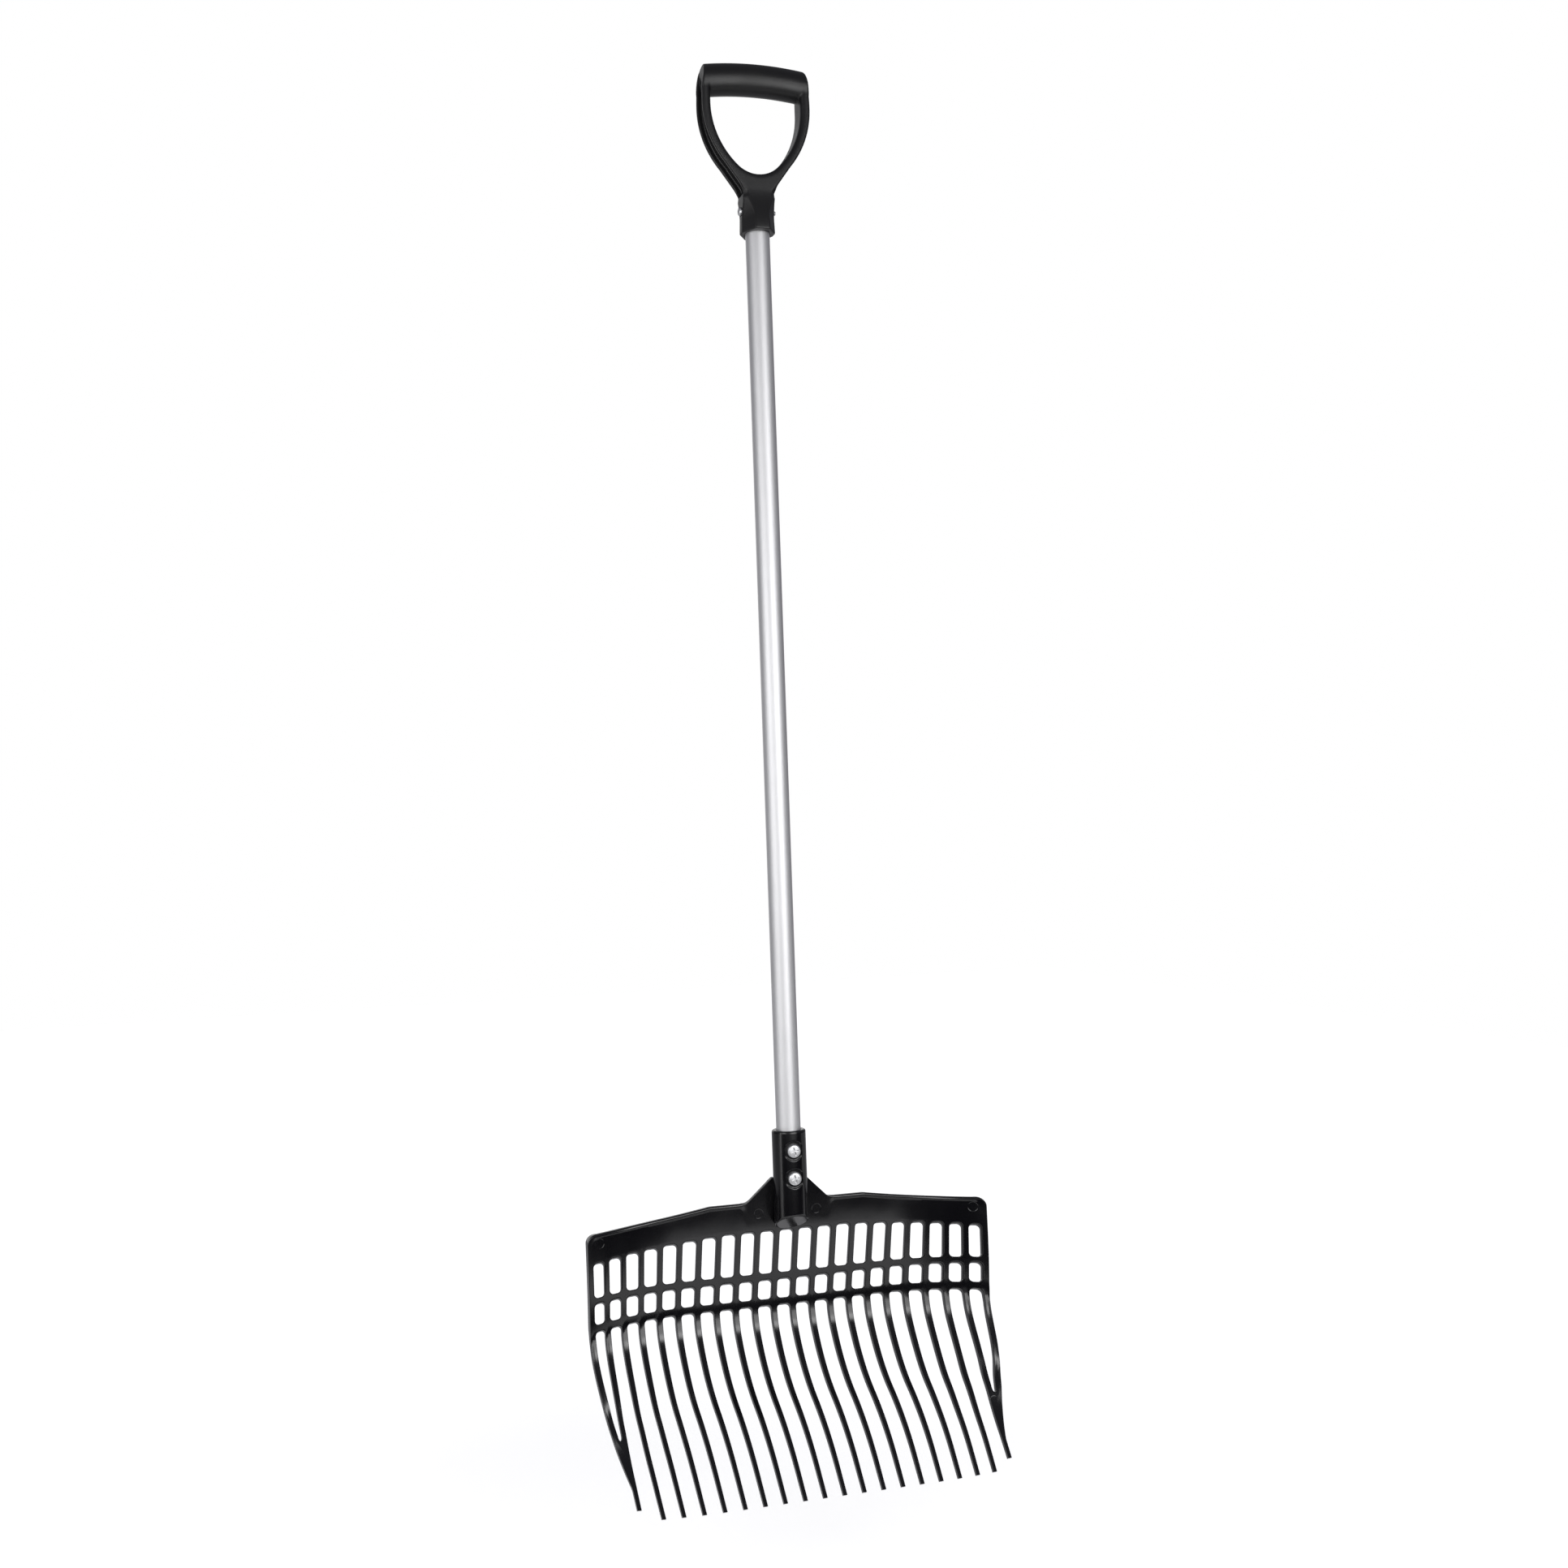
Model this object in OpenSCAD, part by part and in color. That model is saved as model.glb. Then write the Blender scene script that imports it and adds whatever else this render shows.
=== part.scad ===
// Manure fork: a moulded basket head with twenty tines, an aluminium tube and a moulded D-grip.
// Millimetres. The shaft axis is Z, with Z = 0 at the mouth of the head's socket and the grip above it.
// X runs across the fork and the load side, which carries the bolt heads, faces -Y.

/* [Shaft] */
// outside diameter of the aluminium tube
tube_d = 22; // [20:0.5:24]
// wall of the tube
tube_wall = 1.5; // [1:0.1:2.5]
// bare tube between the two sockets
tube_free_l = 806; // [400:1:1200]
// tube hidden inside the head's socket
tube_in_head_l = 66; // [52:1:68]
// tube hidden inside the grip's socket
tube_in_grip_l = 42; // [30:1:44]
// radial room between the tube and its sockets
slide_gap = 0.15; // [0.1:0.05:0.3]

/* [Head socket] */
// outside diameter of the head's socket
socket_d = 30.5; // [29:0.5:34]
// length of the socket down its front
socket_front_l = 75; // [72:1:85]
// slope of the direction in which the moulding leaves its tool
draw_a = 25; // [15:1:30]

/* [Head bolts] */
// thread of the two bolts through socket and tube
bolt_d = 6; // [5:0.5:6]
// upper bolt below the socket's mouth
bolt_drop = 17.5; // [14:0.5:20]
// distance between the two bolts
bolt_pitch = 24.5; // [22:0.5:26]
// diameter of a bolt's pan head
bolt_head_d = 12; // [10:0.5:13]
// height of a bolt's pan head
bolt_head_h = 4; // [3:0.1:5]
// diameter of the flat seat sunk into the socket for head and nut
spot_d = 17; // [15:0.5:18]
// depth of that seat below the socket's round face
spot_depth = 2; // [1.5:0.1:2.2]
// width of a nut across its flats
nut_af = 10; // [8:0.5:10]
// height of a nut
nut_h = 5; // [4:0.1:6]
// thread that stands out of a nut
bolt_out_l = 1.5; // [0.5:0.1:3]
// radial room of a bolt in its hole
bolt_gap = 0.2; // [0.1:0.05:0.4]

/* [Plate] */
// distance between neighbouring bars at the middle of the head
bar_pitch = 18; // [16:0.5:20]
// width of a bar between two slots
bar_w = 5; // [4:0.1:6]
// depth of the moulding along its draw direction
wall_depth = 6.5; // [5:0.1:8]
// depth of the stiffened rim, from front to back
rim_depth = 11; // [8:0.5:14]
// height of the stiffening behind the rim
rim_h = 5; // [4:0.5:8]
// rim below the socket's mouth
rim_drop = 65; // [60:1:68]
// plain band between the rim and the upper slots
band_h = 26.8; // [24:0.2:34]
// how much taller the band gets towards the sides
band_side_h = 10.5; // [0:0.5:12]
// half length of the slot row's straight top
band_flat_half_w = 60; // [40:1:90]
// length of the upper slots
slot_upper_l = 41; // [36:0.5:44]
// height of the rail between the slot rows
rail_h = 6.2; // [5:0.1:8]
// length of the lower slots
slot_lower_l = 18.6; // [15:0.2:22]
// height of the rail above the tines
heel_rail_h = 6; // [5:0.2:8]
// corner radius of slots and tine gaps
slot_r = 4; // [2.5:0.1:4.5]
// radius of the lower rail's rise towards the sides; the upper rail rises half as much
rail_rise_r = 6000; // [4000:100:12000]
// half length of the rim's straight middle
rim_flat_half_w = 72; // [60:1:90]
// how far the rim falls away towards the sides
rim_fall = 12; // [0:0.5:14]
// radius of the rim's outer corners
rim_corner_r = 8; // [5:0.5:10]
// half width of the webs at the rim
web_half_w = 38; // [30:1:45]
// height of the webs beside the socket
web_h = 22; // [15:1:28]
// thickness of the webs
web_t = 5; // [4:0.5:7]

/* [Basket] */
// front face behind the shaft axis at the rim
plate_back = 7.7; // [5:0.1:9]
// backward lean of the plate below the rim
plate_lean = 15.5; // [12:0.5:18]
// straight length of the plate
plate_l = 91; // [86:1:96]
// radius of the bend above the tines
heel_r = 42; // [36:1:50]
// turn of that bend
heel_a = 49; // [44:1:52]
// radius of the tines' long forward sweep
sweep_r = 140; // [120:1:170]
// turn of the sweep
sweep_a = 29; // [24:1:31]
// radius of the tines' bend back towards the tip
toe_r = 245; // [200:5:300]
// turn of the toe
toe_a = 17; // [10:1:20]
// straight end of a tine
tip_l = 25; // [15:1:40]
// radius in which the sides of the basket roll forward
side_r = 176; // [160:1:220]
// half width of the flat middle at its narrowest
fold_half_w = 71.5; // [60:0.5:80]
// level of that narrowest place below the rim
fold_drop = 135; // [120:1:150]
// radius of the fold line above that place
fold_upper_r = 190; // [150:5:260]
// radius of the fold line below it
fold_lower_r = 25; // [20:1:40]
// half width across which the bars keep their full pitch
even_half_w = 100; // [80:1:110]
// plan radius in which the outer bars close up
crowd_r = 150; // [140:1:200]

/* [Tines] */
// width of a tine at its tip
tip_w = 3.2; // [2.8:0.1:4]
// depth of a tine at its tip
tip_depth = 4.4; // [4:0.1:6]
// share by which the tines draw together at the tips
converge_share = 0.03; // [0:0.005:0.05]
// the same share for the two outer tines
outer_converge_share = 0.018; // [0:0.002:0.03]
// how much higher the two outer tips end
outer_tip_up = 6.5; // [0:0.5:12]
// radius in which the outer tips fall back
sag_r = 415; // [300:5:800]
// half width of the tips that do not fall back
sag_half_w = 90; // [70:1:110]
// level below the rim where the fall back begins
sag_drop = 149; // [140:1:155]
// height over which it grows to its full amount
sag_l = 40; // [30:1:50]
// radius in which the side bars run in to the outer tines
side_bar_r = 327; // [280:1:360]
// level below the rim where the side bars start to run in
side_bar_drop = 100; // [95:1:105]
// level below the rim where the gap inside a side bar ends
side_gap_drop = 177.5; // [165:0.5:195]

/* [Grip] */
// diameter of the bar that the hand holds
grip_bar_d = 28.5; // [26:0.5:31]
// radius of the bar's arch
grip_arch_r = 310; // [250:5:500]
// top of the grip above its socket's mouth
grip_h = 154; // [146:1:165]
// half of the grip's greatest width
grip_half_w = 50.2; // [48:0.2:56]
// level of that width below the grip's top
grip_wide_drop = 40; // [36:1:44]
// outer radius of the arms above the widest place
arm_upper_r = 200; // [150:5:300]
// thickness of an arm at the widest place
arm_t = 8.2; // [7.6:0.2:10]
// depth of an arm from front to back
arm_depth = 26; // [24:0.5:28]
// radius of the hand opening's lower end
palm_r = 27; // [22:1:28]
// centre of that radius above the grip's mouth
palm_up = 79.2; // [76:0.1:82]
// width of the groove along an arm's outer side
groove_w = 17; // [12:0.5:19]
// depth of that groove
groove_depth = 5; // [3:0.2:5.4]
// half width of the grip's socket at its mouth
collar_half_w = 16; // [15.5:0.1:19]
// half depth of the grip's socket at its mouth
collar_half_d = 19.5; // [17:0.1:22]
// half width of the flat on the socket's front
collar_flat_half_w = 6.4; // [5:0.1:8]
// half width of the flats on the socket's sides
collar_side_half_w = 4; // [3.5:0.1:6]
// height of the grip's socket
collar_h = 33; // [30:1:38]
// half width of the neck where socket and arms meet
neck_half_w = 14.8; // [14.4:0.1:15.4]
// thread of the screw through grip and tube
screw_d = 4; // [3.5:0.1:5]
// diameter of that screw's head
screw_head_d = 7.6; // [6.5:0.1:9]
// height of that screw's head
screw_head_h = 2.6; // [2:0.1:3.5]
// screw above the grip's mouth
screw_up = 20; // [14:0.5:24]
// tip of the screw that stands out on the far side
screw_out_l = 1.5; // [0.5:0.1:3]

/* [Hidden] */
$fn = 96;
// columns of slots on each side of the middle one, and tines on each side
side_columns = 10;
// steps of a rounded slot corner and of a tine's length
corner_steps = 3;
tine_steps = 15;
// every cut runs past the faces that it leaves by this much
overrun = 1;
// depth of a cross recess and its arm, as shares of the head that it is in
recess_depth_share = 0.45;
recess_arm_share = 0.5;
recess_width_share = 0.13;
// part of a pan head's height that is straight, before its dome
pan_side_share = 0.45;
plastic = [0.06, 0.06, 0.07];
grip_black = [0.1, 0.1, 0.1];
aluminium = [0.75, 0.76, 0.78];
zinc = [0.85, 0.86, 0.88];

// levels of the head's front face, on its middle line
rim_z = -rim_drop;
slot_upper_z = rim_z - band_h;
rail_z = slot_upper_z - slot_upper_l;
slot_lower_z = rail_z - rail_h;
heel_rail_z = slot_lower_z - slot_lower_l;
gap_z = heel_rail_z - heel_rail_h;
root_z = gap_z - 2 * slot_r;

// side view of the front face: straight plate, heel, sweep, toe and straight tip; headings count from plumb
plate_end = [plate_back + plate_l * sin(plate_lean), rim_z - plate_l * cos(plate_lean)];
heel_in_a = -plate_lean;
heel_out_a = heel_in_a + heel_a;
heel_end = forward_end(plate_end, heel_r, heel_in_a, heel_out_a);
sweep_out_a = heel_out_a + sweep_a;
sweep_end = forward_end(heel_end, sweep_r, heel_out_a, sweep_out_a);
toe_out_a = sweep_out_a - toe_a;
toe_end = forward_end(sweep_end, -toe_r, sweep_out_a, toe_out_a);
tip_z = toe_end[1] - tip_l * cos(toe_out_a);
fold_z = rim_z - fold_drop;
sag_z = rim_z - sag_drop;
side_bar_z = rim_z - side_bar_drop;
side_gap_z = rim_z - side_gap_drop;
side_gap_round = bar_w / 4;
edge_x = bar_x(side_columns + 1) + bar_w / 2;

function clamp(v, low, high) = min(max(v, low), high);
function sq(v) = v * v;
// end of an arc that turns forward, from its start, radius and headings; a negative radius turns back
function forward_end(start, r, a, b) = start + r * [cos(b) - cos(a), sin(a) - sin(b)];
// depth of such an arc at a level below its start
function arc_y(start, r, a, z) = start[0] + r * (cos(asin(sin(a) + (start[1] - z) / r)) - cos(a));
function middle_y(z) =
    z >= plate_end[1] ? plate_back + (rim_z - z) * tan(plate_lean)
    : z >= heel_end[1] ? arc_y(plate_end, heel_r, heel_in_a, z)
    : z >= sweep_end[1] ? arc_y(heel_end, sweep_r, heel_out_a, z)
    : z >= toe_end[1] ? arc_y(sweep_end, -toe_r, sweep_out_a, z)
    : toe_end[0] - (toe_end[1] - z) * tan(toe_out_a);
// the sides roll forward outside a fold line, and the outer tips fall back again
function fold_x(z) = fold_half_w + sq(z - fold_z) / (2 * (z > fold_z ? fold_upper_r : fold_lower_r));
function roll_y(w) = side_r - sqrt(sq(side_r) - sq(w));
function sag_y(x, z) = sq(max(abs(x) - sag_half_w, 0)) / (2 * sag_r) * clamp((sag_z - z) / sag_l, 0, 1);
function front_y(x, z) = middle_y(z) - roll_y(clamp(abs(x) - fold_x(z), 0, side_r)) + sag_y(x, z);

// a place on the moulding is [x, z, deep], where deep is its depth straight back on the rim and 0 elsewhere
draw = [0, -cos(draw_a), sin(draw_a)];
function down_share(z) = clamp((root_z - z) / (root_z - tip_z), 0, 1);
function depth_at(z) = wall_depth + (tip_depth - wall_depth) * down_share(z);
function front(p) = [p[0], front_y(p[0], p[1]), p[1]];
function back(p) = front(p) + (p[2] > 0 ? [0, p[2], 0] : -depth_at(p[1]) * draw);

// bars stand at even pitch in the middle and close up where the basket's sides roll forward
function place_x(u) =
    abs(u) <= even_half_w ? u
    : sign(u) * (even_half_w + crowd_r * sin((abs(u) - even_half_w) / crowd_r * 180 / PI));
// middle line of the n-th bar from the middle, counted 1, 2, 3 to the right and -1, -2, -3 to the left
function bar_x(n) = place_x(sign(n) * (abs(n) - 1 / 2) * bar_pitch);

// levels of the rows at a place across the head
function rise(x) = sq(x) / (2 * rail_rise_r);
function upper_top(x) =
    slot_upper_z - band_side_h * clamp((abs(x) - band_flat_half_w) / (edge_x - band_flat_half_w), 0, 1);
function upper_end(x) = rail_z + rise(x) / 2;
function lower_top(x) = slot_lower_z + rise(x);
function lower_end(x) = heel_rail_z + rise(x);
function gap_top(x) = gap_z + rise(x);
function rim_line(x) =
    abs(x) < web_half_w ? rim_z + web_h * clamp((web_half_w - abs(x)) / (web_half_w - socket_d / 2), 0, 1)
    : rim_z - rim_fall * sin(90 * clamp((abs(x) - rim_flat_half_w) / (edge_x - rim_flat_half_w), 0, 1));
function corner_fall(x) =
    rim_corner_r - sqrt(sq(rim_corner_r) - sq(clamp(abs(x) - edge_x + rim_corner_r, 0, rim_corner_r)));
function rim_at(x) = rim_line(x) - corner_fall(x);
function rim_place(x) = [x, rim_at(x), abs(x) < web_half_w ? web_t : rim_depth];

// flat pieces of the pattern, seen from the front and counted counter-clockwise
function quad(a, b, c, d) = [[a, b, c], [a, c, d]];
function fan(hub, rim) = [for (i = [0 : len(rim) - 2]) [hub, rim[i], rim[i + 1]]];
function strip(low, high) =
    [for (i = [0 : len(low) - 2]) each quad(low[i], low[i + 1], high[i + 1], high[i])];
// a quarter round from one slot side to the next, about a centre
function corner(c, a) =
    [for (i = [0 : corner_steps]) [c[0] + slot_r * cos(a + 90 * i / corner_steps),
        c[1] + slot_r * sin(a + 90 * i / corner_steps), 0]];
// the front and rear triangle of a piece, and the walls along an edge of it
function both_faces(t) = [[front(t[2]), front(t[1]), front(t[0])], [back(t[0]), back(t[1]), back(t[2])]];
function wall(p, q) = [[front(p), front(q), back(q)], [front(p), back(q), back(p)]];
function walls(line) = [for (i = [0 : len(line) - 2]) each wall(line[i], line[i + 1])];
function loop(line) = concat(line, [line[0]]);
function reversed(line) = [for (i = [len(line) - 1 : -1 : 0]) line[i]];

module moulded(triangles) {
    polyhedron(points = [for (t = triangles) each t],
        faces = [for (i = [0 : len(triangles) - 1]) [3 * i, 3 * i + 1, 3 * i + 2]]);
}

// columns are numbered from -side_columns to side_columns; the outer ones end at the head's edge
function column_left(k) = k == -side_columns ? -edge_x : bar_x(k > 0 ? k : k - 1);
function column_right(k) = k == side_columns ? edge_x : bar_x(k < 0 ? k : k + 1);
function slot_left(k) = bar_x(k > 0 ? k : k - 1) + bar_w / 2;
function slot_right(k) = bar_x(k < 0 ? k : k + 1) - bar_w / 2;
function at_edge(x) = abs(x) >= edge_x ? rim_depth : 0;

// one slot with the plate around it, out to the middle lines of its bars and rails
function slot_loop(k, top, bottom) = concat(
    corner([slot_right(k) - slot_r, top - slot_r], 0),
    corner([slot_left(k) + slot_r, top - slot_r], 90),
    corner([slot_left(k) + slot_r, bottom + slot_r], 180),
    corner([slot_right(k) - slot_r, bottom + slot_r], 270));
function slot_cell(k, rows, hole) =
    let (xs = [column_left(k), slot_left(k) + slot_r, slot_right(k) - slot_r, column_right(k)],
        el = at_edge(xs[0]),
        er = at_edge(xs[3]),
        high = [for (i = [0 : 3]) [xs[i], rows[i][0], i == 0 ? el : i == 3 ? er : 0]],
        low = [for (i = [0 : 3]) [xs[i], rows[i][3], i == 0 ? el : i == 3 ? er : 0]],
        left = [[xs[0], rows[0][2] + slot_r, el], [xs[0], rows[0][1] - slot_r, el]],
        right = [[xs[3], rows[3][2] + slot_r, er], [xs[3], rows[3][1] - slot_r, er]],
        n = corner_steps + 1,
        c = [for (i = [0 : 3]) [for (j = [0 : corner_steps]) hole[i * n + j]]])
    concat(
        fan(high[3], concat([high[2]], reversed(c[0]), [right[1]])),
        fan(high[0], concat([left[1]], reversed(c[1]), [high[1]])),
        fan(low[0], concat([low[1]], reversed(c[2]), [left[0]])),
        fan(low[3], concat([right[0]], reversed(c[3]), [low[2]])),
        quad(c[1][0], c[0][corner_steps], high[2], high[1]),
        quad(left[0], c[2][0], c[1][corner_steps], left[1]),
        quad(low[1], low[2], c[3][0], c[2][corner_steps]),
        quad(c[3][corner_steps], right[0], right[1], c[0][0]));

// levels that bound the cells of a column at four places across it: cell top, slot top, slot end, cell end
function column_xs(k) = [column_left(k), slot_left(k) + slot_r, slot_right(k) - slot_r, column_right(k)];
function column_mid(k) = (slot_left(k) + slot_right(k)) / 2;
function band_line(x) = upper_top(x) + rail_h / 2;
function rail_line(x) = upper_end(x) - rail_h / 2;
function heel_line(x) = lower_end(x) - heel_rail_h / 2;
function upper_rows(k) = [for (x = column_xs(k)) [band_line(x), upper_top(x), upper_end(x), rail_line(x)]];
function lower_rows(k) = [for (x = column_xs(k)) [rail_line(x), lower_top(x), lower_end(x), heel_line(x)]];
function upper_loop(k) = slot_loop(k, upper_top(column_mid(k)), upper_end(column_mid(k)));
function lower_loop(k) = slot_loop(k, lower_top(column_mid(k)), lower_end(column_mid(k)));

// the roots of two bars with the round top of the gap between them
function arch(k) =
    let (top = gap_top(column_mid(k)) - slot_r)
    concat(reversed(corner([slot_left(k) + slot_r, top], 90)),
        reversed(corner([slot_right(k) - slot_r, top], 0)));
function root_cell(k) =
    let (xs = column_xs(k),
        el = at_edge(xs[0]),
        er = at_edge(xs[3]),
        high = [for (i = [0 : 3]) [xs[i], heel_line(xs[i]), i == 0 ? el : i == 3 ? er : 0]],
        a = arch(k),
        n = corner_steps,
        left = [[xs[0], root_z, 0], [xs[0], gap_top(xs[0]) - slot_r, el]],
        right = [[xs[3], root_z, 0], [xs[3], gap_top(xs[3]) - slot_r, er]],
        feet = [[slot_left(k), root_z, 0], [slot_right(k), root_z, 0]])
    concat(
        fan(high[0], concat([left[1]], [for (i = [0 : n]) a[i]], [high[1]])),
        fan(high[3], concat([high[2]], [for (i = [n + 1 : 2 * n + 1]) a[i]], [right[1]])),
        quad(a[n], a[n + 1], high[2], high[1]),
        quad(left[0], feet[0], a[0], left[1]),
        quad(feet[1], right[0], right[1], a[2 * n + 1]));
function root_walls(k) =
    concat(walls([[column_xs(k)[0], root_z, 0], [slot_left(k), root_z, 0]]),
        walls(concat([[slot_left(k), root_z, 0]], arch(k), [[slot_right(k), root_z, 0]])),
        walls([[slot_right(k), root_z, 0], [column_xs(k)[3], root_z, 0]]));

// the plain band above a column, with a stiffened rim; the outer columns end in a round corner
function band_row(xs, level) =
    [for (x = xs) level == 0 ? [x, band_line(x), 0]
        : level == 1 ? [x, rim_at(x) - rim_h, 0] : rim_place(x)];
function corner_xs(k) =
    let (from = sign(k) * (slot_right(side_columns) - slot_r))
    [for (i = [0 : 2 * corner_steps]) from + (sign(k) * edge_x - from) * sin(90 * i / (2 * corner_steps))];
function corner_line(k) = [for (x = corner_xs(k)) rim_place(x)];
function corner_cell(k) =
    let (line = corner_line(k),
        x = line[0][0],
        hub = [x, rim_at(x) - rim_h, 0],
        foot = [x, band_line(x), 0],
        side = [sign(k) * edge_x, band_line(edge_x), rim_depth])
    k > 0 ? fan(hub, concat([foot, side], reversed(line))) : fan(hub, concat(line, [side, foot]));
function inner_xs(k) =
    let (xs = column_xs(k))
    k == -side_columns ? [xs[1], xs[2], xs[3]] : k == side_columns ? [xs[0], xs[1], xs[2]] : xs;
function band_cell(k) =
    let (xs = inner_xs(k))
    concat(strip(band_row(xs, 0), band_row(xs, 1)), strip(band_row(xs, 1), band_row(xs, 2)),
        abs(k) == side_columns ? corner_cell(k) : []);

// outline of the plate from the right root up, along the rim to the left and down again
edge_levels = [gap_top(edge_x) - slot_r, heel_line(edge_x), lower_end(edge_x) + slot_r,
    lower_top(edge_x) - slot_r, rail_line(edge_x), upper_end(edge_x) + slot_r,
    upper_top(edge_x) - slot_r, band_line(edge_x)];
right_edge = concat([[edge_x, root_z, 0]], [for (z = edge_levels) [edge_x, z, rim_depth]]);
left_edge = [for (p = reversed(right_edge)) [-p[0], p[1], p[2]]];
rim_xs = [for (k = [side_columns : -1 : -side_columns]) each reversed(k == -side_columns ? inner_xs(k)
    : [for (i = [1 : len(inner_xs(k)) - 1]) inner_xs(k)[i]])];
plate_outline = concat(right_edge, reversed(corner_line(1)),
    [for (i = [1 : len(rim_xs) - 2]) rim_place(rim_xs[i])],
    corner_line(-1), left_edge);

function plate_triangles() =
    let (columns = [-side_columns : side_columns],
        flat = [for (k = columns) each concat(band_cell(k), root_cell(k),
            slot_cell(k, upper_rows(k), upper_loop(k)), slot_cell(k, lower_rows(k), lower_loop(k)))],
        holes = [for (k = columns) each concat(walls(loop(reversed(upper_loop(k)))),
            walls(loop(reversed(lower_loop(k)))), root_walls(k))])
    concat([for (t = flat) each both_faces(t)], holes, walls(plate_outline));

// a bar that hangs from the plate, as rows of places from its root to its end
function ribbon(rows) =
    let (n = len(rows) - 1,
        m = len(rows[0]) - 1,
        faces = [for (i = [0 : n - 1]) each strip(rows[i + 1], rows[i])],
        rim = concat([for (i = [0 : n]) rows[i][0]], [for (j = [1 : m - 1]) rows[n][j]],
            [for (i = [n : -1 : 0]) rows[i][m]], [for (j = [m - 1 : -1 : 1]) rows[0][j]]))
    concat([for (t = faces) each both_faces(t)], walls(loop(rim)));

// tines count from the left; their bars count outward from the middle
function tine_bar(n) = n <= side_columns ? n - side_columns - 1 : n - side_columns;
function tine_end(b) = abs(b) == side_columns ? tip_z + outer_tip_up : tip_z;
function tine_levels(b) = [for (i = [0 : tine_steps]) root_z + (tine_end(b) - root_z) * i / tine_steps];
function tine_x(b, z) =
    bar_x(b) * (1 - (abs(b) == side_columns ? outer_converge_share : converge_share) * sq(down_share(z)));
function tine_w(z) = bar_w + (tip_w - bar_w) * down_share(z);
function tine_row(b, z) = [for (s = [-1, 0, 1]) [tine_x(b, z) + s * tine_w(z) / 2, z, 0]];

// a side bar runs in along an arc and lies against the outer tine below their joint
function side_outer(z) = edge_x - (z < side_bar_z ? sq(z - side_bar_z) / (2 * side_bar_r) : 0);
function tine_edge(z) = tine_x(side_columns, z) + tine_w(z) / 2;
function side_inner(z) = z <= side_gap_z ? tine_edge(z) : max(side_outer(z) - bar_w, tine_edge(z));
side_open_levels = [for (z = tine_levels(side_columns)) if (z > side_gap_z + side_gap_round) z];
side_shut_levels =
    [for (z = tine_levels(side_columns)) if (z < side_gap_z && side_outer(z) > tine_edge(z) + tip_w / 4) z];
side_levels = concat(side_open_levels, [side_gap_z + side_gap_round, side_gap_z], side_shut_levels);
function side_row(s, z) =
    s > 0 ? [[side_inner(z), z, 0], [side_outer(z), z, 0]]
    : [[-side_outer(z), z, 0], [-side_inner(z), z, 0]];

module tine(n) {
    color(plastic)
        moulded(ribbon([for (z = tine_levels(tine_bar(n))) tine_row(tine_bar(n), z)]));
}

module side_bar(s) {
    color(plastic)
        moulded(ribbon([for (z = side_levels) side_row(s, z)]));
}

// places of the two bolts below the socket's mouth, and their seats from the shaft axis
bolt_levels = [-bolt_drop, -bolt_drop - bolt_pitch];
seat_y = socket_d / 2 - spot_depth;
bolt_hole_d = bolt_d + 2 * bolt_gap;
bore_d = tube_d + 2 * slide_gap;
mouth_r = (socket_d - bore_d) / 8;
socket_h = socket_front_l + socket_d * tan(draw_a);

module socket_body() {
    difference() {
        translate([0, 0, -socket_h])
            rotate_extrude() {
                square([socket_d / 2 - mouth_r, socket_h]);
                square([socket_d / 2, socket_h - mouth_r]);
                translate([socket_d / 2 - mouth_r, socket_h - mouth_r])
                    circle(mouth_r);
            }
        translate([-socket_d, -socket_d / 2, -socket_front_l])
            rotate([-draw_a, 0, 0])
                translate([0, -socket_d, -socket_h])
                    cube([2 * socket_d, 3 * socket_d, socket_h]);
    }
}

module across(z) {
    translate([0, 0, z])
        rotate([90, 0, 0])
            children();
}

module fork_head() {
    color(plastic)
        difference() {
            union() {
                moulded(plate_triangles());
                socket_body();
            }
            translate([0, 0, -tube_in_head_l])
                cylinder(d = bore_d, h = tube_in_head_l + overrun);
            for (z = bolt_levels) {
                across(z)
                    cylinder(d = bolt_hole_d, h = 2 * socket_d, center = true);
                across(z)
                    translate([0, 0, seat_y])
                        cylinder(d = spot_d, h = socket_d);
                across(z)
                    translate([0, 0, -seat_y - socket_d])
                        cylinder(d = spot_d, h = socket_d);
            }
        }
}

// a cap of a sphere with a given base and height
module dome(d, h) {
    ball_r = (sq(d / 2) + sq(h)) / (2 * h);
    intersection() {
        translate([0, 0, h - ball_r])
            sphere(ball_r);
        cylinder(d = d, h = h);
    }
}

// pan head on its seat at z = 0, with a cross recess
module pan_head(d, h) {
    difference() {
        union() {
            cylinder(d = d, h = h * pan_side_share);
            translate([0, 0, h * pan_side_share])
                dome(d, h * (1 - pan_side_share));
        }
        for (a = [0, 90])
            rotate([0, 0, a])
                translate([-d * recess_arm_share / 2, -d * recess_width_share / 2,
                    h * (1 - recess_depth_share)])
                    cube([d * recess_arm_share, d * recess_width_share, h]);
    }
}

module head_bolt(z) {
    color(zinc)
        across(z)
            union() {
                translate([0, 0, seat_y])
                    pan_head(bolt_head_d, bolt_head_h);
                translate([0, 0, -seat_y - nut_h - bolt_out_l])
                    cylinder(d = bolt_d, h = 2 * seat_y + nut_h + bolt_out_l);
            }
}

module head_nut(z) {
    color(zinc)
        across(z)
            translate([0, 0, -seat_y - nut_h])
                difference() {
                    cylinder(d = nut_af / cos(30), h = nut_h, $fn = 6);
                    translate([0, 0, -overrun])
                        cylinder(d = bolt_hole_d, h = nut_h + 2 * overrun);
                }
}

// the grip is drawn from its mouth upward
grip_wide_z = grip_h - grip_wide_drop;
grip_bar_z = grip_h - grip_bar_d / 2;
hand_half_w = grip_half_w - arm_t;
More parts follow.
